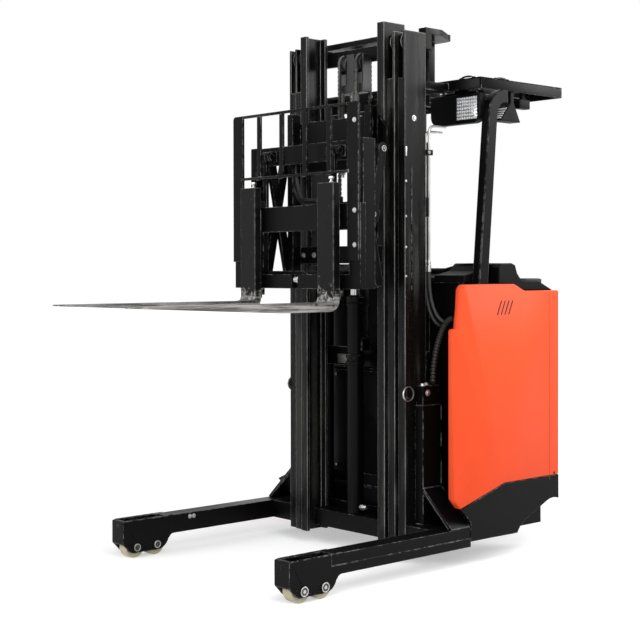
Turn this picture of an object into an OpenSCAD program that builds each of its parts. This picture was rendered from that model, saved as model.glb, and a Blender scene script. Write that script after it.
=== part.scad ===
// Electric stand-on reach truck with a three-stage mast and a scissor reach.
// Millimetres. +X runs forward to the fork tips, +Y to the left, +Z up.
// The origin lies on the floor, at the middle of the truck's length and width.

/* [Chassis] */
// Width over the two straddle legs and over the body
overall_w = 1244; // [1104:10:1404]
// Front end of the straddle legs, ahead of the origin
leg_tip_x = 612; // [520:4:700]
// Rear end of the body, behind the origin
body_rear_x = -1078; // [-1140:2:-1040]
// Width of one straddle leg
leg_w = 92; // [84:2:110]
// Height of the top of the straddle legs
leg_top_z = 175; // [165:1:195]
// Ground clearance below the legs
leg_low_z = 90; // [84:1:100]
// Height of the lowest edge of the wheel housings
housing_low_z = 26; // [22:1:32]

/* [Load wheels] */
// Diameter of a load wheel
load_wheel_d = 100; // [92:1:106]
// Width of a load wheel
load_wheel_w = 58; // [44:1:58]
// Distance from the leg's tip to the front load axle
front_axle_back = 76; // [70:1:90]
// Distance between the two load axles of one leg
load_axle_gap = 113; // [106:1:130]
// Diameter of the load axles
load_axle_d = 20; // [14:1:24]

/* [Mast] */
// Front face of the inner rails, behind the origin
mast_x = -250; // [-300:5:-220]
// Half width over the outer rails
mast_half_w = 392; // [380:1:420]
// Depth of a rail, front to back
rail_d = 135; // [120:1:150]
// Width of a rail's flanges
rail_w = 44; // [38:1:48]
// Thickness of a rail's flanges
flange_t = 16; // [12:1:18]
// Thickness of a rail's web
web_t = 12; // [9:1:14]
// Sideways gap between two rails
rail_gap = 10; // [8:1:14]
// How far each stage stands ahead of the one outside it
stage_step = 12; // [8:1:16]
// Height of the top of the inner rails
inner_top_z = 2440; // [2300:5:2600]
// How much lower the outer and middle rails end
stage_drop = 50; // [30:5:90]
// Height of the bottom of the rails
rail_low_z = 62; // [55:1:80]
// Diameter of the guide rollers' free space in a rail
roller_play = 1; // [0.6:0.1:2]

/* [Lift cylinders] */
// Outer diameter of the free-lift cylinder
free_cyl_d = 78; // [70:1:80]
// Height of the top of the free-lift cylinder
free_cyl_top_z = 1190; // [1050:5:1300]
// Diameter of the free-lift rod
free_rod_d = 46; // [40:1:50]
// Outer diameter of the two side lift cylinders
side_cyl_d = 52; // [44:1:54]
// Diameter of the two side lift rods
side_rod_d = 32; // [26:1:34]

/* [Reach] */
// Distance between the end pivots of a scissor arm
arm_l = 600; // [560:5:640]
// Width of a scissor arm
arm_w = 56; // [48:1:60]
// Thickness of a scissor arm
arm_t = 22; // [18:1:22]
// Distance between the two track lines when drawn in
reach_in = 120; // [110:1:150]
// Height of the upper scissor pivots
pivot_z = 1860; // [1840:5:1900]
// Diameter of the scissor pins
pin_d = 30; // [24:1:32]
// Diameter of the scissor's track rollers
track_roller_d = 33; // [30:1:34]

/* [Forks] */
// Length of the fork blades
fork_l = 1005; // [900:5:1150]
// Width of a fork
fork_w = 105; // [90:1:120]
// Thickness of a fork
fork_t = 40; // [34:1:44]
// Height of the top of the blades
fork_z = 1178; // [1170:1:1190]
// Distance from the middle of the truck to the middle of a fork
fork_y = 267; // [235:1:300]
// Height of the load backrest's top edge
backrest_top_z = 2045; // [1980:5:2150]
// Half width of the load backrest
backrest_half_w = 429; // [400:1:450]

/* [Body] */
// Thickness of the side walls' painted panels
panel_t = 36; // [24:1:50]
// Height of the rear top edge of the side panels
panel_top_z = 1222; // [1150:2:1300]
// Half width of the operator's space
cabin_half_w = 345; // [300:5:400]
// Front wall of the operator's space, behind the origin
cabin_front_x = -720; // [-760:5:-700]
// Height of the operator's floor
floor_z = 255; // [245:5:300]

/* [Overhead guard] */
// Height of the top of the overhead guard
guard_top_z = 2196; // [2120:2:2260]
// Rear end of the overhead guard, behind the origin
guard_rear_x = -1100; // [-1160:2:-1080]
// Height of the guard's folded rim
guard_rim_h = 50; // [40:1:70]

/* [Rear wheels] */
// Diameter of the drive wheel
drive_wheel_d = 230; // [210:2:250]
// Width of the drive wheel
drive_wheel_w = 75; // [65:1:85]
// Diameter of the caster wheels
caster_d = 150; // [125:1:160]

/* [Hidden] */
$fn = 48;

half_w = overall_w / 2;
clear = 5;            // running clearance between pieces that slide past each other
fit = 0.05;           // radial play of a pin in its bore
black = "#1c1d1f";
orange = "#f4521f";
grey = "#77797c";
steel = "#b9bcc0";
cream = "#d8cf9a";

// Rails: bands of the three stages across and along
outer_y = mast_half_w;
mid_y = outer_y - rail_w - rail_gap;
inner_y = mid_y - rail_w - rail_gap;
inner_x = mast_x;
mid_x = inner_x - stage_step;
outer_x = mid_x - stage_step;
stage_top_z = inner_top_z - stage_drop;
roller_d = rail_d - 2 * flange_t - roller_play;
roller_w = rail_w - web_t - 6;
mast_rear_x = outer_x - rail_d;
mid_tie_x = mid_x - rail_d;            // front face of the middle stage's ties
mid_tie_t = 16;
outer_tie_x = mid_tie_x - mid_tie_t - clear - 2;
outer_tie_t = 16;
side_cyl_x = outer_tie_x - outer_tie_t - side_cyl_d / 2 - 3;
side_cyl_y = mid_y - 16;
bulkhead_x = side_cyl_x - side_cyl_d / 2 - 10;
bulkhead_t = 12;

// Legs
leg_y = half_w - leg_w;                // inner face
leg_rear_x = -454;
leg_plate_t = 12;
axle_head_t = 3;
axle_x = [leg_tip_x - front_axle_back, leg_tip_x - front_axle_back - load_axle_gap];
heel_back_x = axle_x[1] - 38;

// Reach: track lines of the carriage and of the reach frame
track_x = mast_x + 60;
frame_x = track_x + reach_in;
arm_lean = asin(reach_in / arm_l);
roller_z = pivot_z - arm_l * cos(arm_lean);
cross_x = (track_x + frame_x) / 2;
cross_z = (pivot_z + roller_z) / 2;
track_t = 8;
track_d = track_roller_d + 1 + 2 * track_t;
track_y = inner_y;                     // outboard edge of the carriage tracks
track_w = 39;
arm_b_y = track_y + 6;                 // inboard face of the arms next to the carriage
arm_a_y = arm_b_y + arm_t + 6;         // inboard face of the arms next to the reach frame
frame_y = arm_a_y + arm_t + 6;         // inboard edge of the reach frame's tracks
frame_w = 38;

// Fork carriage
plate_x = 38;                          // front plane of the backrest and the fork beams
beam_t = 32;
tilt_x = 8;
tilt_lug_d = 48;
tilt_z = 1846;
tilt_rod_z = 1276;
ear_y = 222;
ear_t = 22;
backrest_t = 12;

// A rail: C section open towards the middle, front face at x = 0, outboard face at y = 0
module rail_section() {
  taper = 0;
  polygon([[0, 0], [-rail_d, 0], [-rail_d, -rail_w], [-rail_d + flange_t - taper, -rail_w],
    [-rail_d + flange_t + taper, -web_t], [-flange_t - taper, -web_t],
    [-flange_t + taper, -rail_w], [0, -rail_w]]);
}

module both_sides() {
  children();
  mirror([0, 1, 0]) children();
}

module along_y(x, y0, y1, z, d) {
  translate([x, y0, z]) rotate([-90, 0, 0]) cylinder(d = d, h = y1 - y0);
}

module along_x(x0, x1, y, z, d) {
  translate([x0, y, z]) rotate([0, 90, 0]) cylinder(d = d, h = x1 - x0);
}

module block(x0, x1, y0, y1, z0, z1) {
  translate([x0, y0, z0]) cube([x1 - x0, y1 - y0, z1 - z0]);
}

// A plate with its outline in X and Z, from y0 to y1
module side_plate(y0, y1) {
  translate([0, y1, 0]) rotate([90, 0, 0]) linear_extrude(y1 - y0) children();
}

// Points of an arc about c, from angle a0 to a1
function arc(c, r, a0, a1, n = 8) =
  [for (i = [0:n]) let (a = a0 + (a1 - a0) * i / n) [c[0] + r * cos(a), c[1] + r * sin(a)]];

module leg_outline() {
  nose = 38;                           // slant of the housing's lower front corner
  heel = 62;                           // round lower rear corner of the housing
  hollow = 27;                         // round corner between housing and leg
  heel_x = axle_x[1] - 4;
  polygon(concat(
    arc([leg_tip_x - 6, leg_top_z - 6], 6, 90, 0, 4),
    [[leg_tip_x, housing_low_z + nose + 8], [leg_tip_x - nose, housing_low_z + 6],
     [leg_tip_x - nose - 12, housing_low_z]],
    arc([heel_x, housing_low_z + heel], heel, 270, 195, 8),
    arc([heel_x - heel - hollow, leg_low_z - hollow], hollow, 20, 90, 5),
    [[leg_rear_x, leg_low_z], [leg_rear_x, leg_top_z]]));
}

module leg_body() {
  ledge_z = leg_low_z + 38;
  ledge = 3;
  slot_y0 = leg_y + leg_plate_t;
  slot_y1 = half_w - leg_plate_t;
  slot_back = axle_x[1] - load_wheel_d / 2 - 12;
  slot_front = leg_tip_x - 14;
  difference() {
    side_plate(leg_y, half_w) leg_outline();
    // wheel space, open above and below
    block(slot_back, slot_front, slot_y0, slot_y1, 0, leg_top_z - 10);
    block(slot_back + 12, slot_front - 6, slot_y0 + 4, slot_y1 - 4, 0, leg_top_z + 1);
    block(slot_back, leg_tip_x + 1, slot_y0, slot_y1, 0, housing_low_z + 40);
    // axle bores
    for (x = axle_x) along_y(x, leg_y - 1, half_w + 1, load_wheel_d / 2, load_axle_d + 2 * fit);
    // the upper tube stands back from the lower one
    block(leg_rear_x - 1, heel_back_x, half_w - ledge, half_w + 1, ledge_z, leg_top_z + 1);
  }
}

module leg_left() {
  color(black) leg_body();
}

module leg_right() {
  color(black) mirror([0, 1, 0]) leg_body();
}

module load_axles() {
  color(grey) both_sides() for (x = axle_x) {
    along_y(x, leg_y - 4, half_w, load_wheel_d / 2, load_axle_d);
    along_y(x, half_w, half_w + axle_head_t, load_wheel_d / 2, load_axle_d * 2);
  }
}

module load_wheel(x, side) {
  mid = side * (leg_y + half_w) / 2;
  crown = 3;
  color(cream) translate([x, mid, load_wheel_d / 2]) rotate([90, 0, 0]) rotate_extrude()
    polygon([[load_axle_d / 2 + fit, -load_wheel_w / 2], [load_wheel_d / 2 - crown, -load_wheel_w / 2],
      [load_wheel_d / 2, -load_wheel_w / 2 + crown], [load_wheel_d / 2, load_wheel_w / 2 - crown],
      [load_wheel_d / 2 - crown, load_wheel_w / 2], [load_axle_d / 2 + fit, load_wheel_w / 2]]);
}

// Outer stage --------------------------------------------------------------

module stage_rails(x, y, top_z) {
  both_sides() translate([x, y, rail_low_z]) linear_extrude(top_z - rail_low_z) rail_section();
}

module roller(x, y0, z) {
  along_y(x, y0, y0 + roller_w, z, roller_d);
}

module outer_rails() {
  notch_z = 2180;
  top_roller_d = 74;
  color(black) both_sides() {
    difference() {
      translate([outer_x, outer_y, rail_low_z]) linear_extrude(stage_top_z - rail_low_z) rail_section();
      block(outer_x - flange_t - 4, outer_x + 1, outer_y - rail_w - 1, outer_y - web_t, notch_z, stage_top_z + 1);
    }
    along_y(outer_x - 52, outer_y - rail_w + 4, outer_y - web_t, stage_top_z - 42, top_roller_d);
  }
}

module outer_ties() {
  hat_z = stage_top_z;
  hat_rear_x = -668;
  hat_half_w = 330;
  notch_y0 = side_cyl_y - side_cyl_d / 2 - 12;
  notch_y1 = outer_y - rail_w;
  notch_back = side_cyl_x - side_cyl_d / 2 - 12;
  color(black) {
    for (z = [110, 860, 1560]) {
      block(outer_tie_x - outer_tie_t, outer_tie_x, -outer_y, outer_y, z, z + 90);
      both_sides() block(outer_tie_x, mast_rear_x, outer_y - rail_w, outer_y, z, z + 90);
    }
    // top plate, notched for the lift rods' heads
    difference() {
      translate([0, 0, hat_z]) linear_extrude(28) polygon(concat(
        [[mast_rear_x, outer_y], [mast_rear_x - 110, outer_y]],
        arc([hat_rear_x + 40, hat_half_w - 40], 40, 90, 180, 6),
        arc([hat_rear_x + 40, 40 - hat_half_w], 40, 180, 270, 6),
        [[mast_rear_x - 110, -outer_y], [mast_rear_x, -outer_y],
         [mast_rear_x, -notch_y1], [outer_tie_x, -notch_y1], [outer_tie_x, notch_y1],
         [mast_rear_x, notch_y1]]));
      both_sides() block(notch_back, outer_tie_x + 1, notch_y0, notch_y1 - 1, hat_z - 1, hat_z + 40);
    }
    both_sides() block(mast_rear_x - 40, mast_rear_x, outer_y - rail_w, outer_y, hat_z - 70, hat_z);
  }
}

module side_cylinders() {
  top_z = 1900;
  color(black) both_sides() difference() {
    union() {
      translate([side_cyl_x, side_cyl_y, 112]) cylinder(d = side_cyl_d, h = top_z - 112);
      translate([side_cyl_x, side_cyl_y, top_z - 40]) cylinder(d = side_cyl_d + 4, h = 40);
    }
    translate([side_cyl_x, side_cyl_y, 300]) cylinder(d = side_rod_d + 1, h = top_z);
  }
}

// Middle stage -------------------------------------------------------------

module mid_rails() {
  notch_z = 2180;
  color(black) both_sides() {
    difference() {
      translate([mid_x, mid_y, rail_low_z]) linear_extrude(stage_top_z - rail_low_z) rail_section();
      block(mid_x - flange_t - 4, mid_x + 1, mid_y - rail_w - 1, mid_y - web_t, notch_z, stage_top_z + 1);
    }
    // bottom rollers in the outer rails
    for (z = [150, 420]) {
      roller(outer_x - rail_d / 2, outer_y - rail_w + 3, z);
      along_y(outer_x - rail_d / 2, mid_y, outer_y - rail_w + 3, z, 36);
    }
    along_y(mid_x - 52, mid_y - rail_w + 4, mid_y - web_t, stage_top_z - 42, 74);
  }
}

module mid_ties() {
  head_z = 2070;
  color(black) {
    block(mid_tie_x - mid_tie_t, mid_tie_x, -mid_y, mid_y, head_z, head_z + 50);
    block(mid_tie_x - mid_tie_t, mid_tie_x, -mid_y, mid_y, 70, 130);
    both_sides() block(side_cyl_x - 24, mid_tie_x - mid_tie_t, side_cyl_y - 21, side_cyl_y + 21, head_z, head_z + 50);
  }
  color(steel) both_sides()
    translate([side_cyl_x, side_cyl_y, 330]) cylinder(d = side_rod_d, h = head_z - 330);
}

// Inner stage --------------------------------------------------------------

module inner_rails() {
  color(black) both_sides() {
    translate([inner_x, inner_y, rail_low_z]) linear_extrude(inner_top_z - rail_low_z) rail_section();
    for (z = [150, 420]) {
      roller(mid_x - rail_d / 2, mid_y - rail_w + 3, z);
      along_y(mid_x - rail_d / 2, inner_y, mid_y - rail_w + 3, z, 36);
    }
  }
}

// A tie that bows to the rear between the inner rails
module bowed_tie(z0, z1) {
  rear = inner_x - rail_d;
  bow = 26;
  t = 14;
  translate([0, 0, z0]) linear_extrude(z1 - z0) polygon([
    [rear, inner_y], [rear, inner_y - rail_w], [rear - bow + t, 150], [rear - bow + t, -150],
    [rear, rail_w - inner_y], [rear, -inner_y], [rear - t, -inner_y], [rear - bow, -170],
    [rear - bow, 170], [rear - t, inner_y]]);
}

module inner_ties() {
  color(black) {
    bowed_tie(2300, 2372);
    block(inner_x - rail_d, inner_x - 45, -inner_y + rail_w, inner_y - rail_w, 92, 172);
  }
}

free_cyl_x = inner_x - 90;
free_cyl_base_z = 172;

module free_lift_cylinder() {
  color(black) difference() {
    union() {
      translate([free_cyl_x, 0, free_cyl_base_z]) cylinder(d = free_cyl_d, h = free_cyl_top_z - free_cyl_base_z);
      translate([free_cyl_x, 0, free_cyl_top_z - 32]) cylinder(d = free_cyl_d + 4, h = 32);
      translate([free_cyl_x, 0, free_cyl_top_z]) cylinder(d = free_cyl_d - 16, h = 12);
      // clamp that holds the tube and the fixed ends of the chains
      block(free_cyl_x - chain_r - chain_t / 2, free_cyl_x, -46, 46, 940, 1000);
    }
    translate([free_cyl_x, 0, 420]) cylinder(d = free_rod_d + 1, h = 1000);
  }
}

module anchor_chains() {
  z0 = 1000;
  color(grey) both_sides() {
    chain_run(free_cyl_x - chain_r, chain_in_y, z0, 1690, chain_w);
  }
}

sheave_z = 2285;
sheave_r = 38;
sheave_y = 45;
chain_t = 12;
chain_w = 14;
chain_r = sheave_r + chain_t / 2 + 0.5;

module crosshead() {
  color(steel) translate([free_cyl_x, 0, 990]) cylinder(d = free_rod_d, h = 2150 - 990);
  color(black) {
    block(free_cyl_x - 30, free_cyl_x + 30, -24, 24, 2150, 2330);
    block(free_cyl_x - 30, free_cyl_x + 30, -84, 84, 2150, 2190);
    both_sides() {
      block(free_cyl_x - 26, free_cyl_x + 26, 74, 84, 2190, 2326);
      along_y(free_cyl_x, 24, 74, sheave_z, 20);
      along_y(free_cyl_x, 26, 72, sheave_z, 2 * sheave_r);
    }
  }
}

// A straight run of leaf chain from z0 to z1: rows of waisted plates
module chain_run(x, y, z0, z1, w) {
  pitch = 20;
  n = floor((z1 - z0) / pitch);
  waist = 0.5;
  step = (z1 - z0) / n;
  translate([x, y, z0]) for (i = [0:n - 1]) {
    translate([-chain_t / 2, -w / 2, i * step]) cube([chain_t, w, step * 0.72]);
    translate([-chain_t * waist / 2, -w / 2 + 1, i * step + step * 0.72 - 0.01])
      cube([chain_t * waist, w - 2, step * 0.28 + 0.02]);
  }
}

chain_in_y = 35;                       // middle of the carriage's strand, next to the rod
chain_out_y = 57;                      // middle of the crosshead's strand
chain_join_z = 2150;                   // top of the carriage's strand
chain_anchor_z = 1830;

module crosshead_chains() {
  color(grey) both_sides() {
    chain_run(free_cyl_x + chain_r, chain_out_y, 1592, sheave_z, chain_w);
    chain_run(free_cyl_x - chain_r, chain_out_y, 1530, sheave_z, chain_w);
    translate([free_cyl_x, chain_out_y - chain_w / 2, sheave_z]) rotate([-90, 0, 0]) difference() {
      cylinder(r = chain_r + chain_t / 2, h = chain_w);
      translate([0, 0, -1]) cylinder(r = chain_r - chain_t / 2, h = chain_w + 2);
      translate([-100, 0, -1]) cube([200, 100, chain_w + 2]);
    }
  }
}

// Carriage -----------------------------------------------------------------

carriage_z0 = 1340;
carriage_z1 = 2050;
track_z0 = 1240;
track_z1 = 2060;
cheek_y = 196;
cheek_t = 24;
face_x = mast_x + 10;                  // rear face of the carriage's cross plates
face_t = track_x - track_d / 2 - face_x;

module track_section() {
  // C section, its web inboard, open outwards
  polygon([[-track_d / 2, 0], [track_d / 2, 0], [track_d / 2, track_w], [track_d / 2 - track_t, track_w],
    [track_d / 2 - track_t, 10], [-track_d / 2 + track_t, 10], [-track_d / 2 + track_t, track_w],
    [-track_d / 2, track_w]]);
}

module carriage() {
  plate_z0 = 1780;
  plate_z1 = 2020;
  chamfer = 60;
  color(black) {
    // upper cross plate with cut corners, and a lower cross bar
    translate([face_x, 0, 0]) rotate([90, 0, 90]) linear_extrude(face_t) polygon([
      [-track_y, plate_z0 + 40], [-track_y + 40, plate_z0], [track_y - 40, plate_z0], [track_y, plate_z0 + 40],
      [track_y, plate_z1 - chamfer], [track_y - chamfer, plate_z1], [-track_y + chamfer, plate_z1],
      [-track_y, plate_z1 - chamfer]]);
    block(face_x, face_x + face_t, -track_y, track_y, 1350, 1430);
    both_sides() {
      translate([track_x, track_y - track_w, track_z0]) linear_extrude(track_z1 - track_z0) track_section();
      block(inner_x - rail_d / 2 - 46, face_x, cheek_y, cheek_y + cheek_t, carriage_z0, carriage_z1 - 20);
      for (z = [1420, 1950]) {
        roller(inner_x - rail_d / 2, inner_y - rail_w + 3, z);
        along_y(inner_x - rail_d / 2, cheek_y + cheek_t, inner_y - rail_w + 3, z, 36);
      }
      // upper scissor pin
      along_y(track_x, track_y - track_w + 10, arm_a_y + arm_t + 4, pivot_z, pin_d);
      // chain anchor
      block(free_cyl_x + chain_r - 7, face_x, chain_in_y - 8, chain_in_y + 8, chain_anchor_z - 26, chain_anchor_z);
    }
  }
}

module carriage_chains() {
  color(grey) both_sides()
    chain_run(free_cyl_x + chain_r, chain_in_y, chain_anchor_z, chain_join_z, chain_w);
}

// Scissor ------------------------------------------------------------------

// An arm from a to b in X and Z, with round ends, bores for its upper and middle pins
module arm(a, b, y0, upper_bore, middle_bore) {
  dir = (b - a) / norm(b - a);
  nrm = [-dir[1], dir[0]] * (arm_w / 2 - 5);
  difference() {
    union() {
      side_plate(y0, y0 + arm_t) polygon([a + nrm, b + nrm, b - nrm, a - nrm]);
      for (p = [a, b]) along_y(p[0], y0, y0 + arm_t, p[1], arm_w);
      along_y(cross_x, y0, y0 + arm_t, cross_z, arm_w + 24);
    }
    if (upper_bore) along_y(a[0], y0 - 1, y0 + arm_t + 1, a[1], pin_d + 2 * fit);
    if (middle_bore) along_y(cross_x, y0 - 1, y0 + arm_t + 1, cross_z, pin_d + 2 * fit);
  }
}

module scissor_a() {
  color(black) both_sides() {
    arm([track_x, pivot_z], [frame_x, roller_z], arm_a_y, true, false);
    // middle pin and the roller in the reach frame's track
    along_y(cross_x, arm_b_y - 4, arm_a_y + 1, cross_z, pin_d);
    along_y(frame_x, arm_a_y + arm_t, frame_y + 3, roller_z, 18);
    along_y(frame_x, frame_y + 3, frame_y + frame_w - 13, roller_z, track_roller_d);
  }
}

module scissor_b() {
  color(black) both_sides() {
    arm([frame_x, pivot_z], [track_x, roller_z], arm_b_y, true, true);
    along_y(track_x, track_y - 3, arm_b_y, roller_z, 18);
    along_y(track_x, track_y - track_w + 13, track_y - 3, roller_z, track_roller_d);
  }
}

// Reach frame ----------------------------------------------------------------

module reach_frame() {
  z0 = 1236;
  z1 = 1896;
  front_x = frame_x + track_d / 2;
  bar_x = front_x + 8;
  bar_t = 14;
  lug_x = tilt_x;
  color(black) difference() {
    union() {
      both_sides() {
        // track, open towards the arms
        translate([frame_x, frame_y + frame_w, z0]) mirror([0, 1, 0]) linear_extrude(z1 - z0) track_section2();
        block(front_x, bar_x + bar_t, frame_y, frame_y + frame_w, z0, z1);
        // upper pin of the other arms
        along_y(frame_x, arm_b_y - 4, frame_y + frame_w - 8, pivot_z, pin_d);
        // tilt lugs and their pin
        for (y = [ear_y - 6 - 20, ear_y + ear_t + 6]) {
          block(bar_x + bar_t, lug_x, y, y + 20, tilt_z - tilt_lug_d / 2, tilt_z + tilt_lug_d / 2);
          along_y(lug_x, y, y + 20, tilt_z, tilt_lug_d);
        }
        along_y(lug_x, ear_y - 30, ear_y + ear_t + 30, tilt_z, 28);
      }
      block(bar_x, bar_x + bar_t, -frame_y - frame_w, frame_y + frame_w, 1806, z1 - 4);
      block(bar_x, bar_x + bar_t, -frame_y - frame_w, frame_y + frame_w, z0, z0 + 80);
      // tilt cylinder
      along_x(bar_x - 130, bar_x + bar_t + 4, 0, tilt_rod_z, 64);
    }
    along_x(bar_x - 100, bar_x + bar_t + 10, 0, tilt_rod_z, 33);
  }
}

module track_section2() {
  polygon([[-track_d / 2, 0], [track_d / 2, 0], [track_d / 2, frame_w], [track_d / 2 - track_t, frame_w],
    [track_d / 2 - track_t, 8], [-track_d / 2 + track_t, 8], [-track_d / 2 + track_t, frame_w],
    [-track_d / 2, frame_w]]);
}

module tilt_rod() {
  eye_x = plate_x - beam_t / 2 - 3;
  color(steel) difference() {
    union() {
      along_x(frame_x - 40, eye_x - 8, 0, tilt_rod_z, 32);
      along_y(eye_x, -14, 14, tilt_rod_z, 34);
    }
    along_y(eye_x, -20, 20, tilt_rod_z, 22);
  }
}

// Fork carriage --------------------------------------------------------------

module fork_carriage() {
  upper_z = [1495, 1610];
  lower_z = [1236, 1300];
  eye_x = plate_x - beam_t / 2 - 3;
  color(black) {
    difference() {
      block(plate_x - beam_t, plate_x, -backrest_half_w, backrest_half_w, upper_z[0], upper_z[1]);
    }
    difference() {
      block(plate_x - beam_t, plate_x, -backrest_half_w, backrest_half_w, lower_z[0], lower_z[1]);
      block(plate_x - beam_t - 1, plate_x + 1, -20, 20, lower_z[0] - 1, lower_z[1] + 20);
    }
    along_y(eye_x, -24, 24, tilt_rod_z, 16);
    both_sides() {
      block(plate_x - beam_t, plate_x, backrest_half_w - 72, backrest_half_w, 1300, 1495);
      block(plate_x - beam_t, plate_x, ear_y, ear_y + ear_t, 1300, 1495);
      difference() {
        union() {
          block(tilt_x - 6, tilt_x + 10, ear_y, ear_y + ear_t, 1600, tilt_z);
          along_y(tilt_x, ear_y, ear_y + ear_t, tilt_z, tilt_lug_d);
        }
        along_y(tilt_x, ear_y - 1, ear_y + ear_t + 1, tilt_z, 28 + 2 * fit);
      }
    }
  }
}

module backrest() {
  t = backrest_t;
  rail_z = 1744;
  top_t = 26;
  color(black) difference() {
    union() {
      both_sides() {
        block(plate_x, plate_x + t, backrest_half_w - 72, backrest_half_w, 1359, backrest_top_z);
        for (y = [80, 240]) block(plate_x, plate_x + t, y - 20, y + 20, rail_z, backrest_top_z);
      }
      block(plate_x, plate_x + t, -backrest_half_w, backrest_half_w, backrest_top_z - top_t, backrest_top_z);
      block(plate_x, plate_x + t, -backrest_half_w, backrest_half_w, rail_z - 6, rail_z + 14);
    }
  }
}

// Forks ----------------------------------------------------------------------

fork_x = plate_x + backrest_t + clear; // rear face of the shanks

module fork(side) {
  heel_r = 55;
  top_z = 1700;
  tip_x = fork_x + fork_t + fork_l;
  low_z = fork_z - fork_t;
  tip_t = 9;
  taper_x = fork_x + fork_t + 330;
  color(black) translate([0, side * fork_y - fork_w / 2, 0]) {
    difference() {
      side_plate(0, fork_w) polygon(concat(
        [[fork_x, top_z], [fork_x, low_z + heel_r]],
        arc([fork_x + heel_r, low_z + heel_r], heel_r, 180, 270, 8),
        [[taper_x, low_z], [tip_x, fork_z - tip_t], [tip_x, fork_z]],
        arc([fork_x + fork_t + 18, fork_z + 18], 18, 270, 180, 6),
        [[fork_x + fork_t, top_z]]));
      for (y = [0, fork_w]) translate([tip_x, y, low_z - 1]) rotate([0, 0, 45])
        translate([-30, -30, 0]) cube([60, 60, 60]);
    }
    // hooks over and under the fork beams
    block(tilt_x + 16, fork_x, 12, fork_w - 12, 1610.3, 1640);
    block(plate_x - 14, fork_x, 12, fork_w - 12, 1205, 1235.7);
  }
}

module fork_left() {
  fork(1);
}

module fork_right() {
  fork(-1);
}

// Chassis --------------------------------------------------------------------

drive_x = -612;
drive_y = 250;
motor_d = 150;
skirt_t = 14;
base_z = 264;
base_t = 12;
caster_x = -900;
caster_y = -370;

module base_frame() {
  beam_x0 = outer_tie_x - outer_tie_t - 2;
  color(black) {
    // feet that join the outer rails to the legs
    both_sides() difference() {
      block(mast_rear_x, outer_x - 6, outer_y, leg_y, leg_low_z, leg_top_z);
    }
    // cross beam behind the mast
    block(side_cyl_x - 15, outer_tie_x - outer_tie_t, -leg_y, leg_y, leg_low_z, 112);
    // side members
    both_sides() block(body_rear_x + 18, -452, leg_y - 28, leg_y, 112, base_z);
    // base plate with the drive motor's hole
    difference() {
      block(body_rear_x + 14, bulkhead_x + 3, -half_w + skirt_t, half_w - skirt_t, base_z, base_z + base_t);
      translate([drive_x, drive_y, base_z - 1]) cylinder(d = motor_d + 16, h = base_t + 2);
    }
  }
}

module skirt() {
  low_z = 112;
  color(black) side_plate(half_w - skirt_t, half_w) polygon(concat(
    [[-390, 262], [leg_rear_x, 197], [leg_rear_x, low_z], [-778, low_z]],
    arc([-895, 38], 140, 32, 66, 5),
    arc([-1040, 118], 125, 64, 108, 5),
    [[body_rear_x, 350], [-684, 348]]));
}

module skirt_left() {
  skirt();
}

module skirt_right() {
  mirror([0, 1, 0]) skirt();
}

module column() {
  x0 = -448;
  x1 = -328;
  y0 = 400;
  y1 = 450;
  cap_z = 800;
  foot_z = 344;
  color(black) {
    block(x0, x1, y0, y1, leg_top_z, 712);
    block(x0 + 8, x1 - 8, y0, y1 - 8, 712, cap_z);
    // sloped foot plate out to the leg
    translate([x0, 0, 0]) rotate([90, 0, 90]) linear_extrude(x1 - x0) polygon([
      [y1, foot_z], [y1, foot_z - 30], [half_w - 16, leg_top_z], [half_w, leg_top_z], [half_w, leg_top_z + 6]]);
  }
}

module column_left() {
  column();
}

module column_right() {
  mirror([0, 1, 0]) column();
}

module bulkhead() {
  color(black) difference() {
    block(bulkhead_x - bulkhead_t, bulkhead_x, -half_w + panel_t, half_w - panel_t, base_z + base_t, 1262);
    post_slots();
  }
}

module panel_outline() {
  polygon(concat(
    [[-344, 312], [-344, 1056], [-378, 1062], [-392, 1200]],
    arc([-432, 1212], 40, 165, 90, 5),
    [[-760, 1254], [-822, panel_top_z], [body_rear_x, panel_top_z], [body_rear_x, 352], [-684, 350],
     [-385, 265]]));
}

module vents() {
  for (i = [0:3]) translate([-690 - i * 26, 1112]) rotate(-24) square([9, 70]);
}

module side_panel() {
  color(orange) difference() {
    side_plate(half_w - panel_t, half_w) difference() {
      panel_outline();
      vents();
    }
  }
}

module side_panel_left() {
  side_panel();
}

module side_panel_right() {
  mirror([0, 1, 0]) side_panel();
}

module wall() {
  color(black) block(body_rear_x + 4, cabin_front_x, cabin_half_w, half_w - panel_t, base_z + base_t, panel_top_z - 4);
}

module wall_left() {
  wall();
}

module wall_right() {
  mirror([0, 1, 0]) wall();
}

module cabin_floor() {
  color(grey) block(body_rear_x + 4, cabin_front_x, -cabin_half_w, cabin_half_w, base_z + base_t, base_z + base_t + 14);
}

module battery() {
  color(grey) block(cabin_front_x + 14, bulkhead_x - bulkhead_t - 4, -530, 60, base_z + base_t, 920);
}

module hood() {
  front = bulkhead_x - bulkhead_t;
  top = 1350;
  color(black) difference() {
   union() {
    // top of the closed housing and the dashboard
    side_plate(-half_w + panel_t, half_w - panel_t) polygon(concat(
      [[front, 1262], [front, 1290]],
      arc([front - 60, top - 40], 40, 60, 90, 4),
      arc([cabin_front_x + 10, top - 40], 40, 90, 180, 5),
      [[cabin_front_x - 30, 1262]]));
    block(cabin_front_x, cabin_front_x + 12, -half_w + panel_t, half_w - panel_t, base_z + base_t, 1262);
    // arm rests on top of the side walls
    both_sides() block(body_rear_x + 4, cabin_front_x - 30, cabin_half_w, half_w - panel_t, panel_top_z - 4, 1284);
   }
   post_slots();
  }
}

// Room for the guard's posts, which stand on the base plate
module post_slots() {
  both_sides() block(post_x1 - 9, post_x0 + 2, post_y - 1, half_w - panel_t + 1, base_z, 1400);
}

// Overhead guard -------------------------------------------------------------

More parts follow.
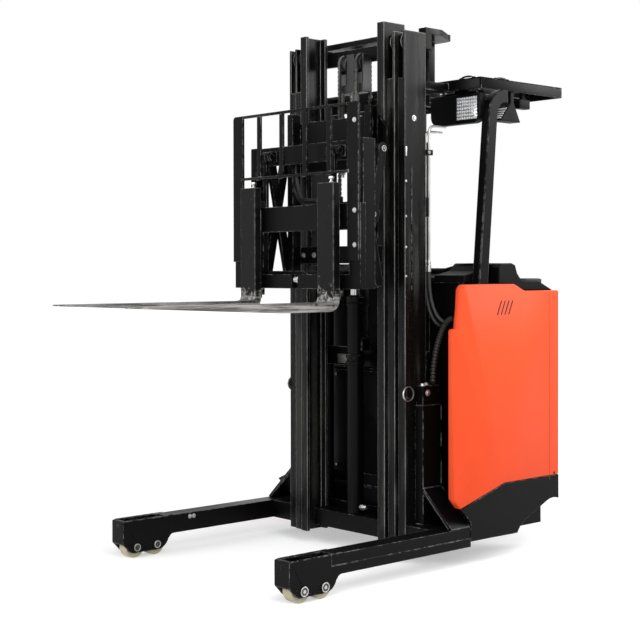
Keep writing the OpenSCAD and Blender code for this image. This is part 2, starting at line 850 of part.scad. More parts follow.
post_x0 = -471;
post_x1 = -568;
post_w = 50;
post_y = half_w - panel_t - post_w;

module guard_posts() {
  top_z = guard_top_z - guard_rim_h;
  color(black) both_sides() side_plate(post_y, post_y + post_w - 4) polygon(concat(
    [[post_x0, base_z + base_t], [post_x0, 1290]],
    arc([-642, top_z - 110], 110, 0, 90, 8),
    arc([-690, top_z - 60], 60, 90, 0, 6),
    [[post_x1, 1290], [post_x1, base_z + base_t]]));
}

module overhead_guard() {
  front = -509;
  y = half_w - panel_t - 4;
  t = 6;
  bars = 7;
  z0 = guard_top_z - guard_rim_h;
  color(black) {
    difference() {
      block(guard_rear_x, front, -y, y, z0, guard_top_z);
      block(guard_rear_x + t, front - t, -y + t, y - t, z0 - 1, guard_top_z - t);
      block(guard_rear_x + 60, front - 60, -y + 60, y - 60, z0 - 1, guard_top_z + 1);
    }
    for (i = [1:bars]) {
      by = -y + 60 + i * (2 * y - 120) / (bars + 1);
      block(guard_rear_x + 60, front - 60, by - 8, by + 8, guard_top_z - 40, guard_top_z);
    }
    // posts up to the mast's top plate, and brackets to the mast
    both_sides() {
      block(-556, -510, 216, 262, guard_top_z, stage_top_z);
      block(front, mast_rear_x, outer_y - rail_w + 4, outer_y - 4, z0 + 4, z0 + 36);
    }
  }
}

module work_light() {
  top_z = guard_top_z - guard_rim_h;
  w = 115;
  color(black) translate([-594, 385, top_z]) {
    rotate([90, 0, 90]) linear_extrude(76) polygon(concat(
      [[-w, 0]], arc([40 - w, -96], 40, 180, 270, 5), arc([w - 40, -96], 40, 270, 360, 5), [[w, 0]]));
    translate([30, -40, -1]) cube([30, 80, guard_rim_h - 5]);
  }
}

module rear_lamp() {
  color(black) translate([-760, 540, 0]) side_plate(-34, 34) polygon([
    [-62, 2010], [58, 2010], [20, 2140], [20, guard_top_z - 6], [-10, guard_top_z - 6], [-10, 2140]]);
}

// Rear wheels ----------------------------------------------------------------

module drive_unit() {
  r = drive_wheel_d / 2;
  color(grey) {
    translate([drive_x, drive_y, base_z - 20]) cylinder(d = 210, h = 19.7);
    translate([drive_x, drive_y, base_z - 10]) cylinder(d = motor_d, h = 300);
    difference() {
      block(drive_x - 60, drive_x + 60, drive_y + drive_wheel_w / 2 + 6, drive_y + drive_wheel_w / 2 + 46, 60, base_z - 10);
      along_y(drive_x, drive_y, drive_y + 100, r, 30);
    }
  }
}

module drive_wheel() {
  r = drive_wheel_d / 2;
  color(black) translate([drive_x, drive_y, r]) rotate([90, 0, 0]) {
    cylinder(r = r, h = drive_wheel_w, center = true);
  }
  color(steel) along_y(drive_x, drive_y + drive_wheel_w / 2, drive_y + drive_wheel_w / 2 + 40, r, 29.9);
}

module caster_fork() {
  r = caster_d / 2;
  color(grey) {
    translate([caster_x, caster_y, 212]) cylinder(d = 110, h = base_z - 212 - 0.3);
    both_sides_of(caster_y) block(caster_x - 70, caster_x + 20, 34, 42, r - 24, 212);
    block(caster_x - 70, caster_x + 50, caster_y - 42, caster_y + 42, 200, 212);
    along_y(caster_x - 40, caster_y - 42, caster_y + 42, r, 20);
  }
}

module both_sides_of(y) {
  translate([0, y, 0]) {
    children();
    mirror([0, 1, 0]) children();
  }
}

module caster_wheels() {
  r = caster_d / 2;
  color(cream) difference() {
    along_y(caster_x - 40, caster_y - 28, caster_y + 28, r, 2 * r);
    along_y(caster_x - 40, caster_y - 29, caster_y + 29, r, 20.1);
  }
}

module steering_wheel() {
  color(black) translate([-680, 180, 1350.3]) {
    cylinder(d = 50, h = 40);
    translate([0, 0, 40]) rotate_extrude() translate([80, 0]) circle(d = 24);
    translate([0, 0, 40]) cube([160, 24, 10], center = true);
  }
}

leg_left();
leg_right();
load_axles();
base_frame();
skirt_left();
skirt_right();
column_left();
column_right();
outer_rails();
outer_ties();
side_cylinders();
side_panel_left();
side_panel_right();
hood();
bulkhead();
wall_left();
wall_right();
cabin_floor();
battery();
guard_posts();
overhead_guard();
work_light();
rear_lamp();
mid_rails();
mid_ties();
inner_rails();
inner_ties();
free_lift_cylinder();
anchor_chains();
crosshead();
crosshead_chains();
carriage();
carriage_chains();
scissor_a();
scissor_b();
reach_frame();
tilt_rod();
fork_carriage();
backrest();
fork_left();
fork_right();
load_wheel(axle_x[0], 1);  // load_wheel_left_front
load_wheel(axle_x[1], 1);  // load_wheel_left_rear
load_wheel(axle_x[0], -1);  // load_wheel_right_front
load_wheel(axle_x[1], -1);  // load_wheel_right_rear
drive_unit();
drive_wheel();
caster_fork();
caster_wheels();
steering_wheel();
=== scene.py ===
"""Dressed scene of an electric stand-on reach truck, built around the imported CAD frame.

Every new piece is a surface worked out with numpy, in metres, in the frame's own axes:
+X runs forward to the fork tips, +Y to the left and +Z up, from the floor.
"""
import math

import bmesh
import bpy
import numpy as np
from mathutils import Matrix, Vector


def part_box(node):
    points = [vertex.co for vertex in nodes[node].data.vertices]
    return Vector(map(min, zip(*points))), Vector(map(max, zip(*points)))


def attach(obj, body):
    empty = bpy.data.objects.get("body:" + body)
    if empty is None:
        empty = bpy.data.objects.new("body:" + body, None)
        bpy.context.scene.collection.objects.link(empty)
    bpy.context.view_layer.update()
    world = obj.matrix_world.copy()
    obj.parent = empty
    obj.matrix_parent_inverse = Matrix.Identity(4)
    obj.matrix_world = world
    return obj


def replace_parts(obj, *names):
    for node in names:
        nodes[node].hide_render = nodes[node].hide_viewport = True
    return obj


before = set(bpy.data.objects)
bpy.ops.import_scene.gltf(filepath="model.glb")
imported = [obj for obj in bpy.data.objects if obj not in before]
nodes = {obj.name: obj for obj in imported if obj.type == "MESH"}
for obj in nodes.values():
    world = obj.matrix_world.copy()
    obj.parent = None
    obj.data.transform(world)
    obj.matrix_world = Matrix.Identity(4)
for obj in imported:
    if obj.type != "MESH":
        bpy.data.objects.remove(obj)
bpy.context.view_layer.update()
scene = bpy.context.scene


# ---------------------------------------------------------------- materials
class Nodes:
    """A node tree: small calls that add one node each."""

    def __init__(self, owner):
        self.owner = owner
        owner.use_nodes = True
        self.tree = owner.node_tree
        self.tree.nodes.clear()

    def feed(self, socket, value):
        """Joins a socket to another node's output, or sets it to a constant."""
        if isinstance(value, bpy.types.NodeSocket):
            self.tree.links.new(value, socket)
        else:
            socket.default_value = value

    def add(self, kind, feeds=None, **settings):
        node = self.tree.nodes.new(kind)
        for key, value in settings.items():
            setattr(node, key, value)
        for key, value in (feeds or {}).items():
            self.feed(node.inputs[key], value)
        return node

    def sum(self, op, a, b):
        return self.add("ShaderNodeMath", {0: a, 1: b}, operation=op).outputs[0]

    def times(self, a, b):
        return self.sum("MULTIPLY", a, b)

    def plus(self, a, b):
        return self.sum("ADD", a, b)


class Finish(Nodes):
    """A material whose patterns are fixed to the piece's own coordinates."""

    def __init__(self, name):
        super().__init__(bpy.data.materials.new(name))
        self.place = self.add("ShaderNodeTexCoord").outputs["Object"]

    def noise(self, scale, detail, rough=0.55, stretch=None, distortion=0.0):
        """Cloudy noise; streaks, when its coordinates are scaled unevenly by stretch."""
        place = self.place
        if stretch is not None:
            place = self.add("ShaderNodeMapping", {"Vector": place, "Scale": stretch}).outputs[0]
        feeds = {"Vector": place, "Scale": scale, "Detail": detail, "Roughness": rough}
        return self.add("ShaderNodeTexNoise", {**feeds, "Distortion": distortion}).outputs["Fac"]

    def ramp(self, value, low, high, to_low=0.0, to_high=1.0):
        """value, moved from low..high to to_low..to_high with soft ends."""
        feeds = {"Value": value, "From Min": low, "From Max": high, "To Min": to_low, "To Max": to_high}
        return self.add("ShaderNodeMapRange", feeds, interpolation_type="SMOOTHSTEP").outputs[0]

    def mix(self, factor, a, b):
        """Colour a where factor is 0, colour b where it is 1."""
        node = self.add("ShaderNodeMix", data_type="RGBA")
        factor_socket, a_socket, b_socket = (node.inputs[k] for k in (0, 6, 7))
        self.feed(factor_socket, factor)
        for socket, colour in ((a_socket, a), (b_socket, b)):
            self.feed(socket, (*colour, 1.0) if isinstance(colour, tuple) else colour)
        return node.outputs[2]

    def along(self, axis):
        """One coordinate of the piece: 0 for X, 1 for Y, 2 for Z."""
        return self.add("ShaderNodeSeparateXYZ", {"Vector": self.place}).outputs[axis]

    def rounded(self, radius=0.0025):
        """A normal that turns softly over every hard edge."""
        return self.add("ShaderNodeBevel", {"Radius": radius}, samples=4).outputs[0]

    def edges(self, radius, low=0.02, high=0.25):
        """1 on sharp edges, 0 on flat faces: how far the rounded normal leans from the true one."""
        true = self.add("ShaderNodeNewGeometry").outputs["Normal"]
        normals = {0: self.rounded(radius), 1: true}
        same = self.add("ShaderNodeVectorMath", normals, operation="DOT_PRODUCT").outputs["Value"]
        return self.ramp(self.sum("SUBTRACT", 1.0, same), low, high)

    def bump(self, height, strength, distance, normal=None):
        feeds = {"Height": height, "Strength": strength, "Distance": distance}
        if normal is not None:
            feeds["Normal"] = normal
        return self.add("ShaderNodeBump", feeds).outputs[0]

    def finish(self, **feeds):
        shader = self.add("ShaderNodeBsdfPrincipled", {k.replace("_", " "): v for k, v in feeds.items()})
        self.add("ShaderNodeOutputMaterial", {"Surface": shader.outputs[0]})
        return self.owner


def painted_steel(name, colour, wear_and_sheen, rough=(0.34, 0.52), edge=0.55, dust=0.35, peel=0.12, gloss=0.5,
                  lean=(0.02, 0.25)):
    """Sprayed steel: orange peel, faint dust, fine scuffs, and edges of a lighter tone that are partly rubbed
    paint and partly a painted highlight.
    """
    f = Finish(name)
    broad, fine, chips = f.noise(3.1, 5.0), f.noise(46.0, 6.0, 0.6), f.noise(120.0, 4.0, 0.6)
    scuffs = f.noise(9.0, 8.0, 0.72, (1.0, 1.0, 5.5), 0.6)
    patches = f.plus(f.times(fine, 0.6), f.times(broad, 0.4))
    # Edges mixed towards the light colour: partly rubbed paint, partly a painted highlight where light catches
    # them.
    lighter_edges = f.times(f.edges(0.005, *lean), f.ramp(patches, 0.46, 0.6, 0.0, edge))
    marks = f.times(f.ramp(scuffs, 0.6, 0.74), f.ramp(chips, 0.42, 0.62, 0.0, dust))
    base = f.mix(f.ramp(broad, 0.32, 0.68), tuple(c * 0.93 for c in colour), colour)
    base = f.mix(f.ramp(marks, 0.0, 1.0, 0.0, 0.5), base, wear_and_sheen)
    base = f.mix(lighter_edges, base, wear_and_sheen)
    roughness = f.plus(f.ramp(broad, 0.3, 0.7, *rough), f.times(marks, 0.2))
    normal = f.bump(f.noise(260.0, 3.0), peel, 0.0006, f.rounded())
    return f.finish(Base_Color=base, Roughness=roughness, Specular_IOR_Level=gloss, Normal=normal)


def bare_metal(name, colour, dark, rough, metallic=0.9, brushed=(1.0, 1.0, 1.0), bump=0.08):
    """Bare steel: fine tooling marks along one way, a haze of oil and darker stains."""
    f = Finish(name)
    marks, stain = f.noise(90.0, 5.0, 0.6, brushed), f.noise(7.0, 6.0, 0.6)
    base = f.mix(f.ramp(stain, 0.35, 0.7), colour, dark)
    base = f.mix(f.ramp(marks, 0.35, 0.75, 0.0, 0.35), base, dark)
    roughness = f.plus(f.ramp(stain, 0.3, 0.7, *rough), f.times(marks, 0.12))
    normal = f.bump(marks, bump, 0.0006, f.rounded(0.0012))
    return f.finish(Base_Color=base, Roughness=roughness, Metallic=metallic, Normal=normal)


def moulded(name, colour, rough=(0.45, 0.62), grain=420.0, strength=0.3, wear_and_sheen=None, gloss=0.35):
    """Moulded plastic or rubber with a fine leather grain and a second colour on every edge, partly wear and
    partly a painted highlight.
    """
    f = Finish(name)
    broad = f.noise(4.0, 5.0)
    feeds = {"Vector": f.place, "Scale": grain}
    cells = f.add("ShaderNodeTexVoronoi", feeds, feature="SMOOTH_F1").outputs["Distance"]
    base = f.mix(f.ramp(broad, 0.3, 0.7), tuple(c * 0.78 for c in colour), colour)
    # Every edge mixed towards the second colour: partly wear, partly a painted highlight.
    base = f.mix(f.times(f.edges(0.003), 0.45), base, wear_and_sheen or tuple(min(1.0, c * 2.2 + 0.01) for c in colour))
    roughness = f.ramp(broad, 0.3, 0.7, *rough)
    normal = f.bump(cells, strength, 0.0005, f.rounded(0.003))
    return f.finish(Base_Color=base, Roughness=roughness, Specular_IOR_Level=gloss, Normal=normal)


def greased_rail(name):
    """Rail steel: grey webs, partly wear and partly a painted reflection, with long runs of grease and rolled
    lines, and the edges painted lighter as a highlight.
    """
    f = Finish(name)
    runs = f.noise(26.0, 6.0, 0.62, (1.0, 1.0, 0.045))
    patches = f.noise(5.0, 7.0, 0.66, (1.0, 1.0, 0.35), 0.4)
    specks = f.noise(190.0, 3.0, 0.6)
    # Lighter grey webs: partly wear, partly a painted reflection.
    wear_and_sheen = f.times(f.ramp(runs, 0.42, 0.68), f.ramp(patches, 0.4, 0.62))
    bright = f.times(f.ramp(specks, 0.62, 0.74), f.ramp(patches, 0.48, 0.66, 0.0, 0.6))
    # Painted highlight: the rails' edges mixed towards light grey.
    lighter_edges = f.times(f.edges(0.0055, 0.01, 0.12), f.ramp(patches, 0.36, 0.54, 0.2, 1.0))
    base = f.mix(f.ramp(wear_and_sheen, 0.0, 0.6, 0.0, 0.75), (0.0034, 0.0033, 0.0032), (0.034, 0.033, 0.031))
    base = f.mix(bright, base, (0.3, 0.29, 0.27))
    base = f.mix(lighter_edges, base, WEAR_AND_HIGHLIGHT_GREY)
    roughness = f.plus(f.ramp(runs, 0.35, 0.7, 0.22, 0.46), f.times(f.ramp(specks, 0.5, 0.8), 0.15))
    normal = f.bump(f.plus(f.times(specks, 0.5), runs), 0.1, 0.0008, f.rounded())
    return f.finish(Base_Color=base, Roughness=roughness, Specular_IOR_Level=0.12, Normal=normal)


def rubbed_fork(name):
    """Fork steel: black paint cracked and rubbed away towards the blade's tip, scratched along its length."""
    f = Finish(name)
    x, z = f.along(0), f.along(2)
    blade = f.times(f.ramp(x, 0.1, 0.95), f.ramp(z, 1.26, 1.17))
    low = f.ramp(z, 1.3, 1.16, 0.0, 0.45)
    scratch = f.noise(60.0, 7.0, 0.68, (0.05, 1.0, 1.0), 0.3)
    chips = f.noise(34.0, 8.0, 0.7)
    cover = f.plus(f.times(blade, 0.2), f.times(low, 0.46))
    bare = f.ramp(f.plus(f.plus(f.times(scratch, 0.45), f.times(chips, 0.55)), cover), 0.6, 0.7)
    lighter_edges = f.times(f.edges(0.0055, 0.01, 0.14), f.ramp(chips, 0.35, 0.55, 0.45, 1.0))
    bare = f.sum("MAXIMUM", bare, lighter_edges)
    steel = f.mix(f.ramp(scratch, 0.4, 0.62), (0.1, 0.098, 0.094), (0.34, 0.33, 0.32))
    base = f.mix(bare, (0.0036, 0.0035, 0.0034), steel)
    roughness = f.ramp(scratch, 0.3, 0.7, 0.26, 0.5)
    normal = f.bump(f.plus(f.times(bare, -0.4), f.times(scratch, 0.4)), 0.35, 0.0006, f.rounded())
    return f.finish(Base_Color=base, Roughness=roughness, Metallic=f.times(bare, 0.45), Specular_IOR_Level=0.12,
                    Normal=normal)


def painted_gap_shade(name, deep, lighter_shade):
    """Painted shade for a gap between two panels: a dark colour, lighter in cloudy patches."""
    f = Finish(name)
    return f.finish(Base_Color=f.mix(f.ramp(f.noise(30.0, 4.0), 0.4, 0.7), deep, lighter_shade), Roughness=0.8)


def lamp_lens(name):
    """Clear moulded lens: glossy, pale, with fine flutes."""
    f = Finish(name)
    wave = {"Vector": f.place, "Scale": 90.0, "Distortion": 0.4}
    flutes = f.add("ShaderNodeTexWave", wave, bands_direction="Z").outputs["Fac"]
    base = f.mix(f.ramp(flutes, 0.2, 0.8), (0.5, 0.51, 0.52), (0.8, 0.81, 0.82))
    return f.finish(Base_Color=base, Roughness=f.ramp(flutes, 0.0, 1.0, 0.06, 0.14), Coat_Weight=0.6,
                    Coat_Roughness=0.03, Normal=f.bump(flutes, 0.15, 0.0005))


def dark_glass(name):
    """Dark display glass with a haze of finger marks."""
    f = Finish(name)
    haze = f.noise(16.0, 6.0, 0.6)
    base = f.mix(f.ramp(haze, 0.45, 0.7), (0.004, 0.006, 0.008), (0.01, 0.013, 0.016))
    return f.finish(Base_Color=base, Roughness=f.ramp(haze, 0.4, 0.7, 0.05, 0.16))


def chrome_below_paint(name, high):
    """Hard chrome below one height, black paint above it, with a painted highlight along the paint's edges."""
    f = Finish(name)
    rod = f.sum("LESS_THAN", f.along(2), high)
    marks, broad = f.noise(70.0, 5.0, 0.6, (1.0, 1.0, 0.05)), f.noise(3.1, 5.0)
    bright = f.mix(f.ramp(marks, 0.4, 0.7), (0.7, 0.71, 0.72), (0.46, 0.46, 0.47))
    paint = f.mix(f.ramp(broad, 0.3, 0.7), (0.003, 0.003, 0.0031), (0.005, 0.005, 0.005))
    # Painted highlight: the paint's edges mixed halfway towards grey.
    paint = f.mix(f.times(f.edges(0.0035), 0.5), paint, (0.12, 0.12, 0.12))
    roughness = f.sum("SUBTRACT", f.ramp(broad, 0.3, 0.7, 0.34, 0.46), f.times(rod, 0.26))
    return f.finish(Base_Color=f.mix(rod, paint, bright), Metallic=f.times(rod, 0.9), Roughness=roughness,
                    Normal=f.bump(marks, 0.05, 0.0005, f.rounded()))


# Light grey for wear marks, and for the painted highlight on the edges of black paint and rails.
WEAR_AND_HIGHLIGHT_GREY = (0.42, 0.42, 0.41)
PAINT_TOP = 2.149                            # lower side of the crosshead, where its chrome rods start
black_paint = painted_steel("satin_black_paint", (0.0022, 0.0022, 0.0023), WEAR_AND_HIGHLIGHT_GREY, (0.3, 0.46), edge=0.85,
                            dust=0.13, peel=0.1, gloss=0.08, lean=(0.01, 0.14))
orange_paint = painted_steel("orange_paint", (0.98, 0.098, 0.03), (0.98, 0.34, 0.2), (0.4, 0.46), edge=0.25,
                             dust=0.02, peel=0.05, gloss=0.07)
grey_paint = painted_steel("grey_paint", (0.1, 0.1, 0.11), (0.32, 0.32, 0.31))
weld_steel = painted_steel("painted_weld", (0.012, 0.012, 0.012), (0.42, 0.41, 0.39), (0.3, 0.5), edge=0.8,
                           dust=0.9)
black_plastic = moulded("grained_black_plastic", (0.003, 0.003, 0.0031), gloss=0.1)
padded_vinyl = moulded("padded_black_vinyl", (0.009, 0.009, 0.0095), (0.48, 0.62), 320.0, 0.45)
hose_rubber = moulded("black_hose_rubber", (0.026, 0.026, 0.026), (0.34, 0.5), 260.0, 0.15)
battery_case = moulded("battery_case", (0.05, 0.05, 0.055))
floor_mat = moulded("ribbed_floor_mat", (0.022, 0.022, 0.022), (0.6, 0.8), strength=0.6)
polyurethane = moulded("cream_polyurethane", (0.62, 0.58, 0.38), (0.35, 0.55), 200.0, 0.12, (0.35, 0.3, 0.18))
drive_tyre = moulded("drive_tyre", (0.1, 0.055, 0.03), (0.5, 0.7))
stop_red = moulded("red_stop_knob", (0.55, 0.012, 0.01), (0.3, 0.4), 120.0, 0.05, (0.7, 0.1, 0.08))
oiled_steel = bare_metal("oiled_chain_steel", (0.13, 0.127, 0.12), (0.02, 0.019, 0.018), (0.28, 0.48))
zinc_steel = bare_metal("zinc_plated_steel", (0.66, 0.66, 0.64), (0.32, 0.32, 0.31), (0.22, 0.36))
bright_pipe = bare_metal("bright_pipe", (0.72, 0.72, 0.71), (0.4, 0.4, 0.39), (0.16, 0.28),
                         brushed=(1.0, 1.0, 0.1))
chrome = bare_metal("hard_chrome", (0.7, 0.71, 0.72), (0.48, 0.48, 0.49), (0.07, 0.16),
                    brushed=(1.0, 1.0, 0.05), bump=0.03)
lamp_silver = bare_metal("lamp_reflector", (0.8, 0.8, 0.81), (0.55, 0.55, 0.56), (0.18, 0.3), 0.7)
chrome_and_paint = chrome_below_paint("chrome_rod_and_paint", PAINT_TOP)
rail_steel = greased_rail("greased_rail_steel")
fork_steel = rubbed_fork("rubbed_fork_steel")
# Painted shade for the panel gaps and for the vent slots.
shadow_gap = painted_gap_shade("panel_gap", (0.3, 0.03, 0.012), (0.38, 0.045, 0.018))
vent_painted_shade = painted_gap_shade("vent_shadow", (0.05, 0.009, 0.006), (0.085, 0.014, 0.008))
clear_lens = lamp_lens("clear_lamp_lens")
display_glass = dark_glass("display_glass")


# ---------------------------------------------------------------- shapes
RAIL_Y = 0.392                               # outer side of the mast
LEG_Y, AXLES_X, AXLE_Z = 0.622, (0.536, 0.423), 0.05
PI = math.pi
X, Y, Z = (1, 0, 0), (0, 1, 0), (0, 0, 1)
RIGHT = (0, -1, 0)


def unit(v):
    v = np.asarray(v, float)
    return v / np.linalg.norm(v, axis=-1, keepdims=True)


def mm(*numbers):
    """Points of a flat outline, given in millimetres one after the other."""
    return np.reshape(numbers, (-1, 2)) / 1000


def both(sheet):
    """A sheet and its mirror image on the truck's other side."""
    return np.concatenate([sheet, sheet * np.array([1.0, -1.0, 1.0])])


def pairs(sheets):
    return [both(sheet) for sheet in sheets]


def arc(centre, radius, start, end, count):
    """Points of an arc in a plane: centre + radius * (cos t, sin t), t in quarter turns from start to end."""
    t = np.linspace(start * PI / 2, end * PI / 2, count)
    radius = np.broadcast_to(radius, 2)
    return np.stack([centre[0] + radius[0] * np.cos(t), centre[1] + radius[1] * np.sin(t)], 1)


def hoops(u, v, around, turn=0.0):
    """Round each place: cos a * u + sin a * v, a from turn once round."""
    a = turn + 2 * PI * np.arange(around) / around
    return np.cos(a)[None, :, None] * u[:, None] + np.sin(a)[None, :, None] * v[:, None]


def turned(outline, at, axis, around, turn=0.0):
    """Turned shapes, one at each place: at + axis * along + radius * (cos a * u + sin a * v), for each
    (radius, along)."""
    outline, at = np.array(outline, float), np.atleast_2d(np.array(at, float))
    axis = unit(np.broadcast_to(np.array(axis, float), at.shape))
    lean = np.where(np.abs(axis[:, 2:3]) < 0.9, [[0.0, 0.0, 1.0]], [[1.0, 0.0, 0.0]])
    u = unit(np.cross(lean, axis))
    ring = hoops(u, np.cross(axis, u), around, turn)
    along = axis[:, None, None] * outline[None, :, 1, None, None]
    return at[:, None, None] + along + ring[:, None] * outline[None, :, 0, None, None]


def swept(path, radius, side, around):
    """A round bar along a path: point + radius * (cos a * u + sin a * v), u square to the way and to side."""
    path = np.array(path, float)
    way = unit(np.gradient(path, axis=0))
    u = unit(np.cross(way, side))
    radius = np.broadcast_to(np.reshape(radius, (-1, 1, 1)), (len(path), 1, 1))
    return (path[:, None] + hoops(u, np.cross(way, u), around) * radius)[None]


def slab(low, high, corner, edge, axis, bend=4):
    """Flat rounded blocks: a rectangle with arcs of radius corner, carried along axis and drawn in by edge
    at both ends."""
    low, high = np.atleast_2d(np.array(low, float)), np.atleast_2d(np.array(high, float))
    a, b = [k for k in range(3) if k != axis]
    quarter = np.repeat(np.arange(4), bend + 1)
    t = quarter * PI / 2 + np.tile(np.linspace(0, PI / 2, bend + 1), 4)
    sign_a, sign_b = np.array([1, -1, -1, 1])[quarter], np.array([1, 1, -1, -1])[quarter]
    depth = (high - low)[:, [axis]]
    inset = edge * np.array([1, 0.3, 0, 0, 0.3, 1])
    inward = np.array([0, 0.3, 1]) * edge
    rise = np.hstack([0 * depth + inward, depth - inward[::-1]])
    c = np.maximum(corner - inset, 1e-5)[None, :, None]
    mid, half = (low + high)[..., None, None] / 2, (high - low)[..., None, None] / 2 - corner
    out = np.zeros((len(low), 6, len(t), 3))
    out[..., a] = mid[:, a] + sign_a * half[:, a] + c * np.cos(t)
    out[..., b] = mid[:, b] + sign_b * half[:, b] + c * np.sin(t)
    out[..., axis] = (low[:, axis, None] + rise)[..., None]
    return out


def plank(outline, axis, start, end, edge=0.002):
    """A plate with a free outline, carried along axis, its rim drawn in by edge along the outline's own
    normals."""
    line = np.array(outline, float)
    after_line = np.roll(line, -1, 0)
    before, after = unit(line - np.roll(line, 1, 0)), unit(after_line - line)
    inward = np.stack([-(before + after)[:, 1], (before + after)[:, 0]], 1)
    area = np.sum(line[:, 0] * after_line[:, 1] - line[:, 1] * after_line[:, 0])
    inward = inward / np.maximum(np.sum(inward * inward, 1, keepdims=True), 0.5) * 2 * np.sign(area)
    a, b = [k for k in range(3) if k != axis]
    out = np.zeros((1, 4, len(line), 3))
    flat = line[None] + inward[None] * np.array([edge, 0.0, 0.0, edge])[:, None, None]
    out[0, :, :, a], out[0, :, :, b] = flat[..., 0], flat[..., 1]
    step = edge if end > start else -edge
    out[0, :, :, axis] = np.array([start, start + step, end - step, end])[:, None]
    return out


def cushion(low, high, power, rows=18, around=40):
    """A padded block: half size * (signed power of cos v * cos u, cos v * sin u, sin v), a rounded
    superellipsoid."""
    low, high = np.array(low, float), np.array(high, float)
    v = np.linspace(-PI / 2 + 0.02, PI / 2 - 0.02, rows)[:, None]
    u = 2 * PI * np.arange(around)[None] / around
    waves = np.stack([np.cos(v) + 0 * u, np.cos(u) + 0 * v, np.sin(u) + 0 * v, np.sin(v) + 0 * u])
    cos_v, cos_u, sin_u, sin_v = np.sign(waves) * np.abs(waves) ** power
    shape = np.stack([cos_v * cos_u, cos_v * sin_u, sin_v], -1)
    return ((low + high) / 2 + (high - low) / 2 * shape)[None]


def curve(points, count):
    """A smooth path through points: between each two, a cubic whose ends follow the neighbouring points."""
    p = np.array(points, float)
    p = np.vstack([2 * p[:1] - p[1:2], p, 2 * p[-1:] - p[-2:-1]])
    s = np.linspace(0, len(p) - 3 - 1e-9, count)
    k = s.astype(int)
    t = (s - k)[:, None]
    a, b, c, d = p[k], p[k + 1], p[k + 2], p[k + 3]
    return 0.5 * (2 * b + (c - a) * t + (2 * a - 5 * b + 4 * c - d) * t ** 2 + (3 * b - a - 3 * c + d) * t ** 3)


def bow(p0, p1, p2, p3, count):
    """A cubic bow from p0 to p3 that sets off towards p1 and arrives from p2."""
    t = np.linspace(0, 1, count)[:, None]
    s = 1 - t
    return s ** 3 * p0 + 3 * s ** 2 * t * p1 + 3 * s * t ** 2 * p2 + t ** 3 * p3


def skin(name, sheets, body, material, sharp=35.0):
    """One piece from many sheets (copies, rings, points, 3): each ring joins the next all round, the end
    rings are filled."""
    points, faces, start = [], [], 0
    for sheet in sheets:
        index = start + np.arange(sheet[..., 0].size).reshape(sheet.shape[:3])
        after = np.roll(index, -1, axis=2)
        quads = np.stack([index[:, :-1], after[:, :-1], after[:, 1:], index[:, 1:]], -1)
        faces += quads.reshape(-1, 4).tolist()
        faces += index[:, 0, ::-1].tolist() + index[:, -1].tolist()
        points.append(sheet.reshape(-1, 3))
        start += index.size
    mesh = bpy.data.meshes.new(name)
    mesh.from_pydata(np.concatenate(points).tolist(), [], faces)
    mesh.validate()
    shell = bmesh.new()
    shell.from_mesh(mesh)
    bmesh.ops.recalc_face_normals(shell, faces=shell.faces)
    shell.to_mesh(mesh)
    shell.free()
    mesh.polygons.foreach_set("use_smooth", np.ones(len(mesh.polygons), bool))
    mesh.set_sharp_from_angle(angle=math.radians(sharp))
    mesh.materials.append(material)
    piece = bpy.data.objects.new(name, mesh)
    scene.collection.objects.link(piece)
    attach(piece, body)
    return piece


def zinc(name, sheets, body="chassis"):
    return skin(name, sheets, body, zinc_steel)


def oiled(name, sheets, body):
    return skin(name, sheets, body, oiled_steel)


def painted(name, sheets, body="chassis"):
    return skin(name, sheets, body, black_paint)


def plastic(name, sheets, body="chassis", sharp=35.0, material=black_plastic):
    return skin(name, sheets, body, material, sharp)


def rubber(name, sheets, body="chassis"):
    return plastic(name, sheets, body, material=hose_rubber)


def hex_bolts(at, axis, size, tall, turn=0.3):
    """Hexagon heads on washers: a flat turned disc, and a six-sided turned head with its corners cut."""
    r = size / 2 / math.cos(PI / 6)
    washer = button(r * 1.45, 0.0012, r * 1.38, 0.0017, r * 0.5, at, axis, 18)
    head = turned([(r, 0.001), (r, tall * 0.8), (r * 0.86, tall), (r * 0.3, tall)], at, axis, 6, turn)
    return [washer, head]


def socket_screws(at, axis, size, tall):
    """Round heads with a six-sided recess: a turned head, and a turned outline that goes back down inside
    it."""
    r = size / 2
    head = turned([(r, -0.001), (r, tall * 0.55), (r * 0.85, tall * 0.9), (r * 0.55, tall)], at, axis, 16)
    well = [(r * 0.58, tall * 0.5), (r * 0.58, tall * 1.02), (r * 0.44, tall * 1.02), (r * 0.4, tall * 0.3)]
    return [head, turned(well, at, axis, 6)]


def button(radius, shoulder, top_radius, top, hole, at, axis, around, turn=0.0):
    """Flat round heads: a turned outline straight up to shoulder, then in to a smaller flat top."""
    outline = [(radius, -0.001), (radius, shoulder), (top_radius, top), (hole, top)]
    return turned(outline, at, axis, around, turn)


def rim_rings(at, axis, radius, width, tall):
    """Flat raised rings round a pin: a turned outline that goes up, in and back down."""
    radii = radius - width * np.array([0, 0, 0.2, 0.8, 1, 1])
    rise = [-0.001, tall * 0.7, tall, tall, tall * 0.7, -0.0005]
    return turned(np.stack([radii, rise], 1), at, axis, 32)


BEAD_DROP, BEAD_RING = 0.0072, 0.0016        # one drop of weld, and the step between the rings that draw it


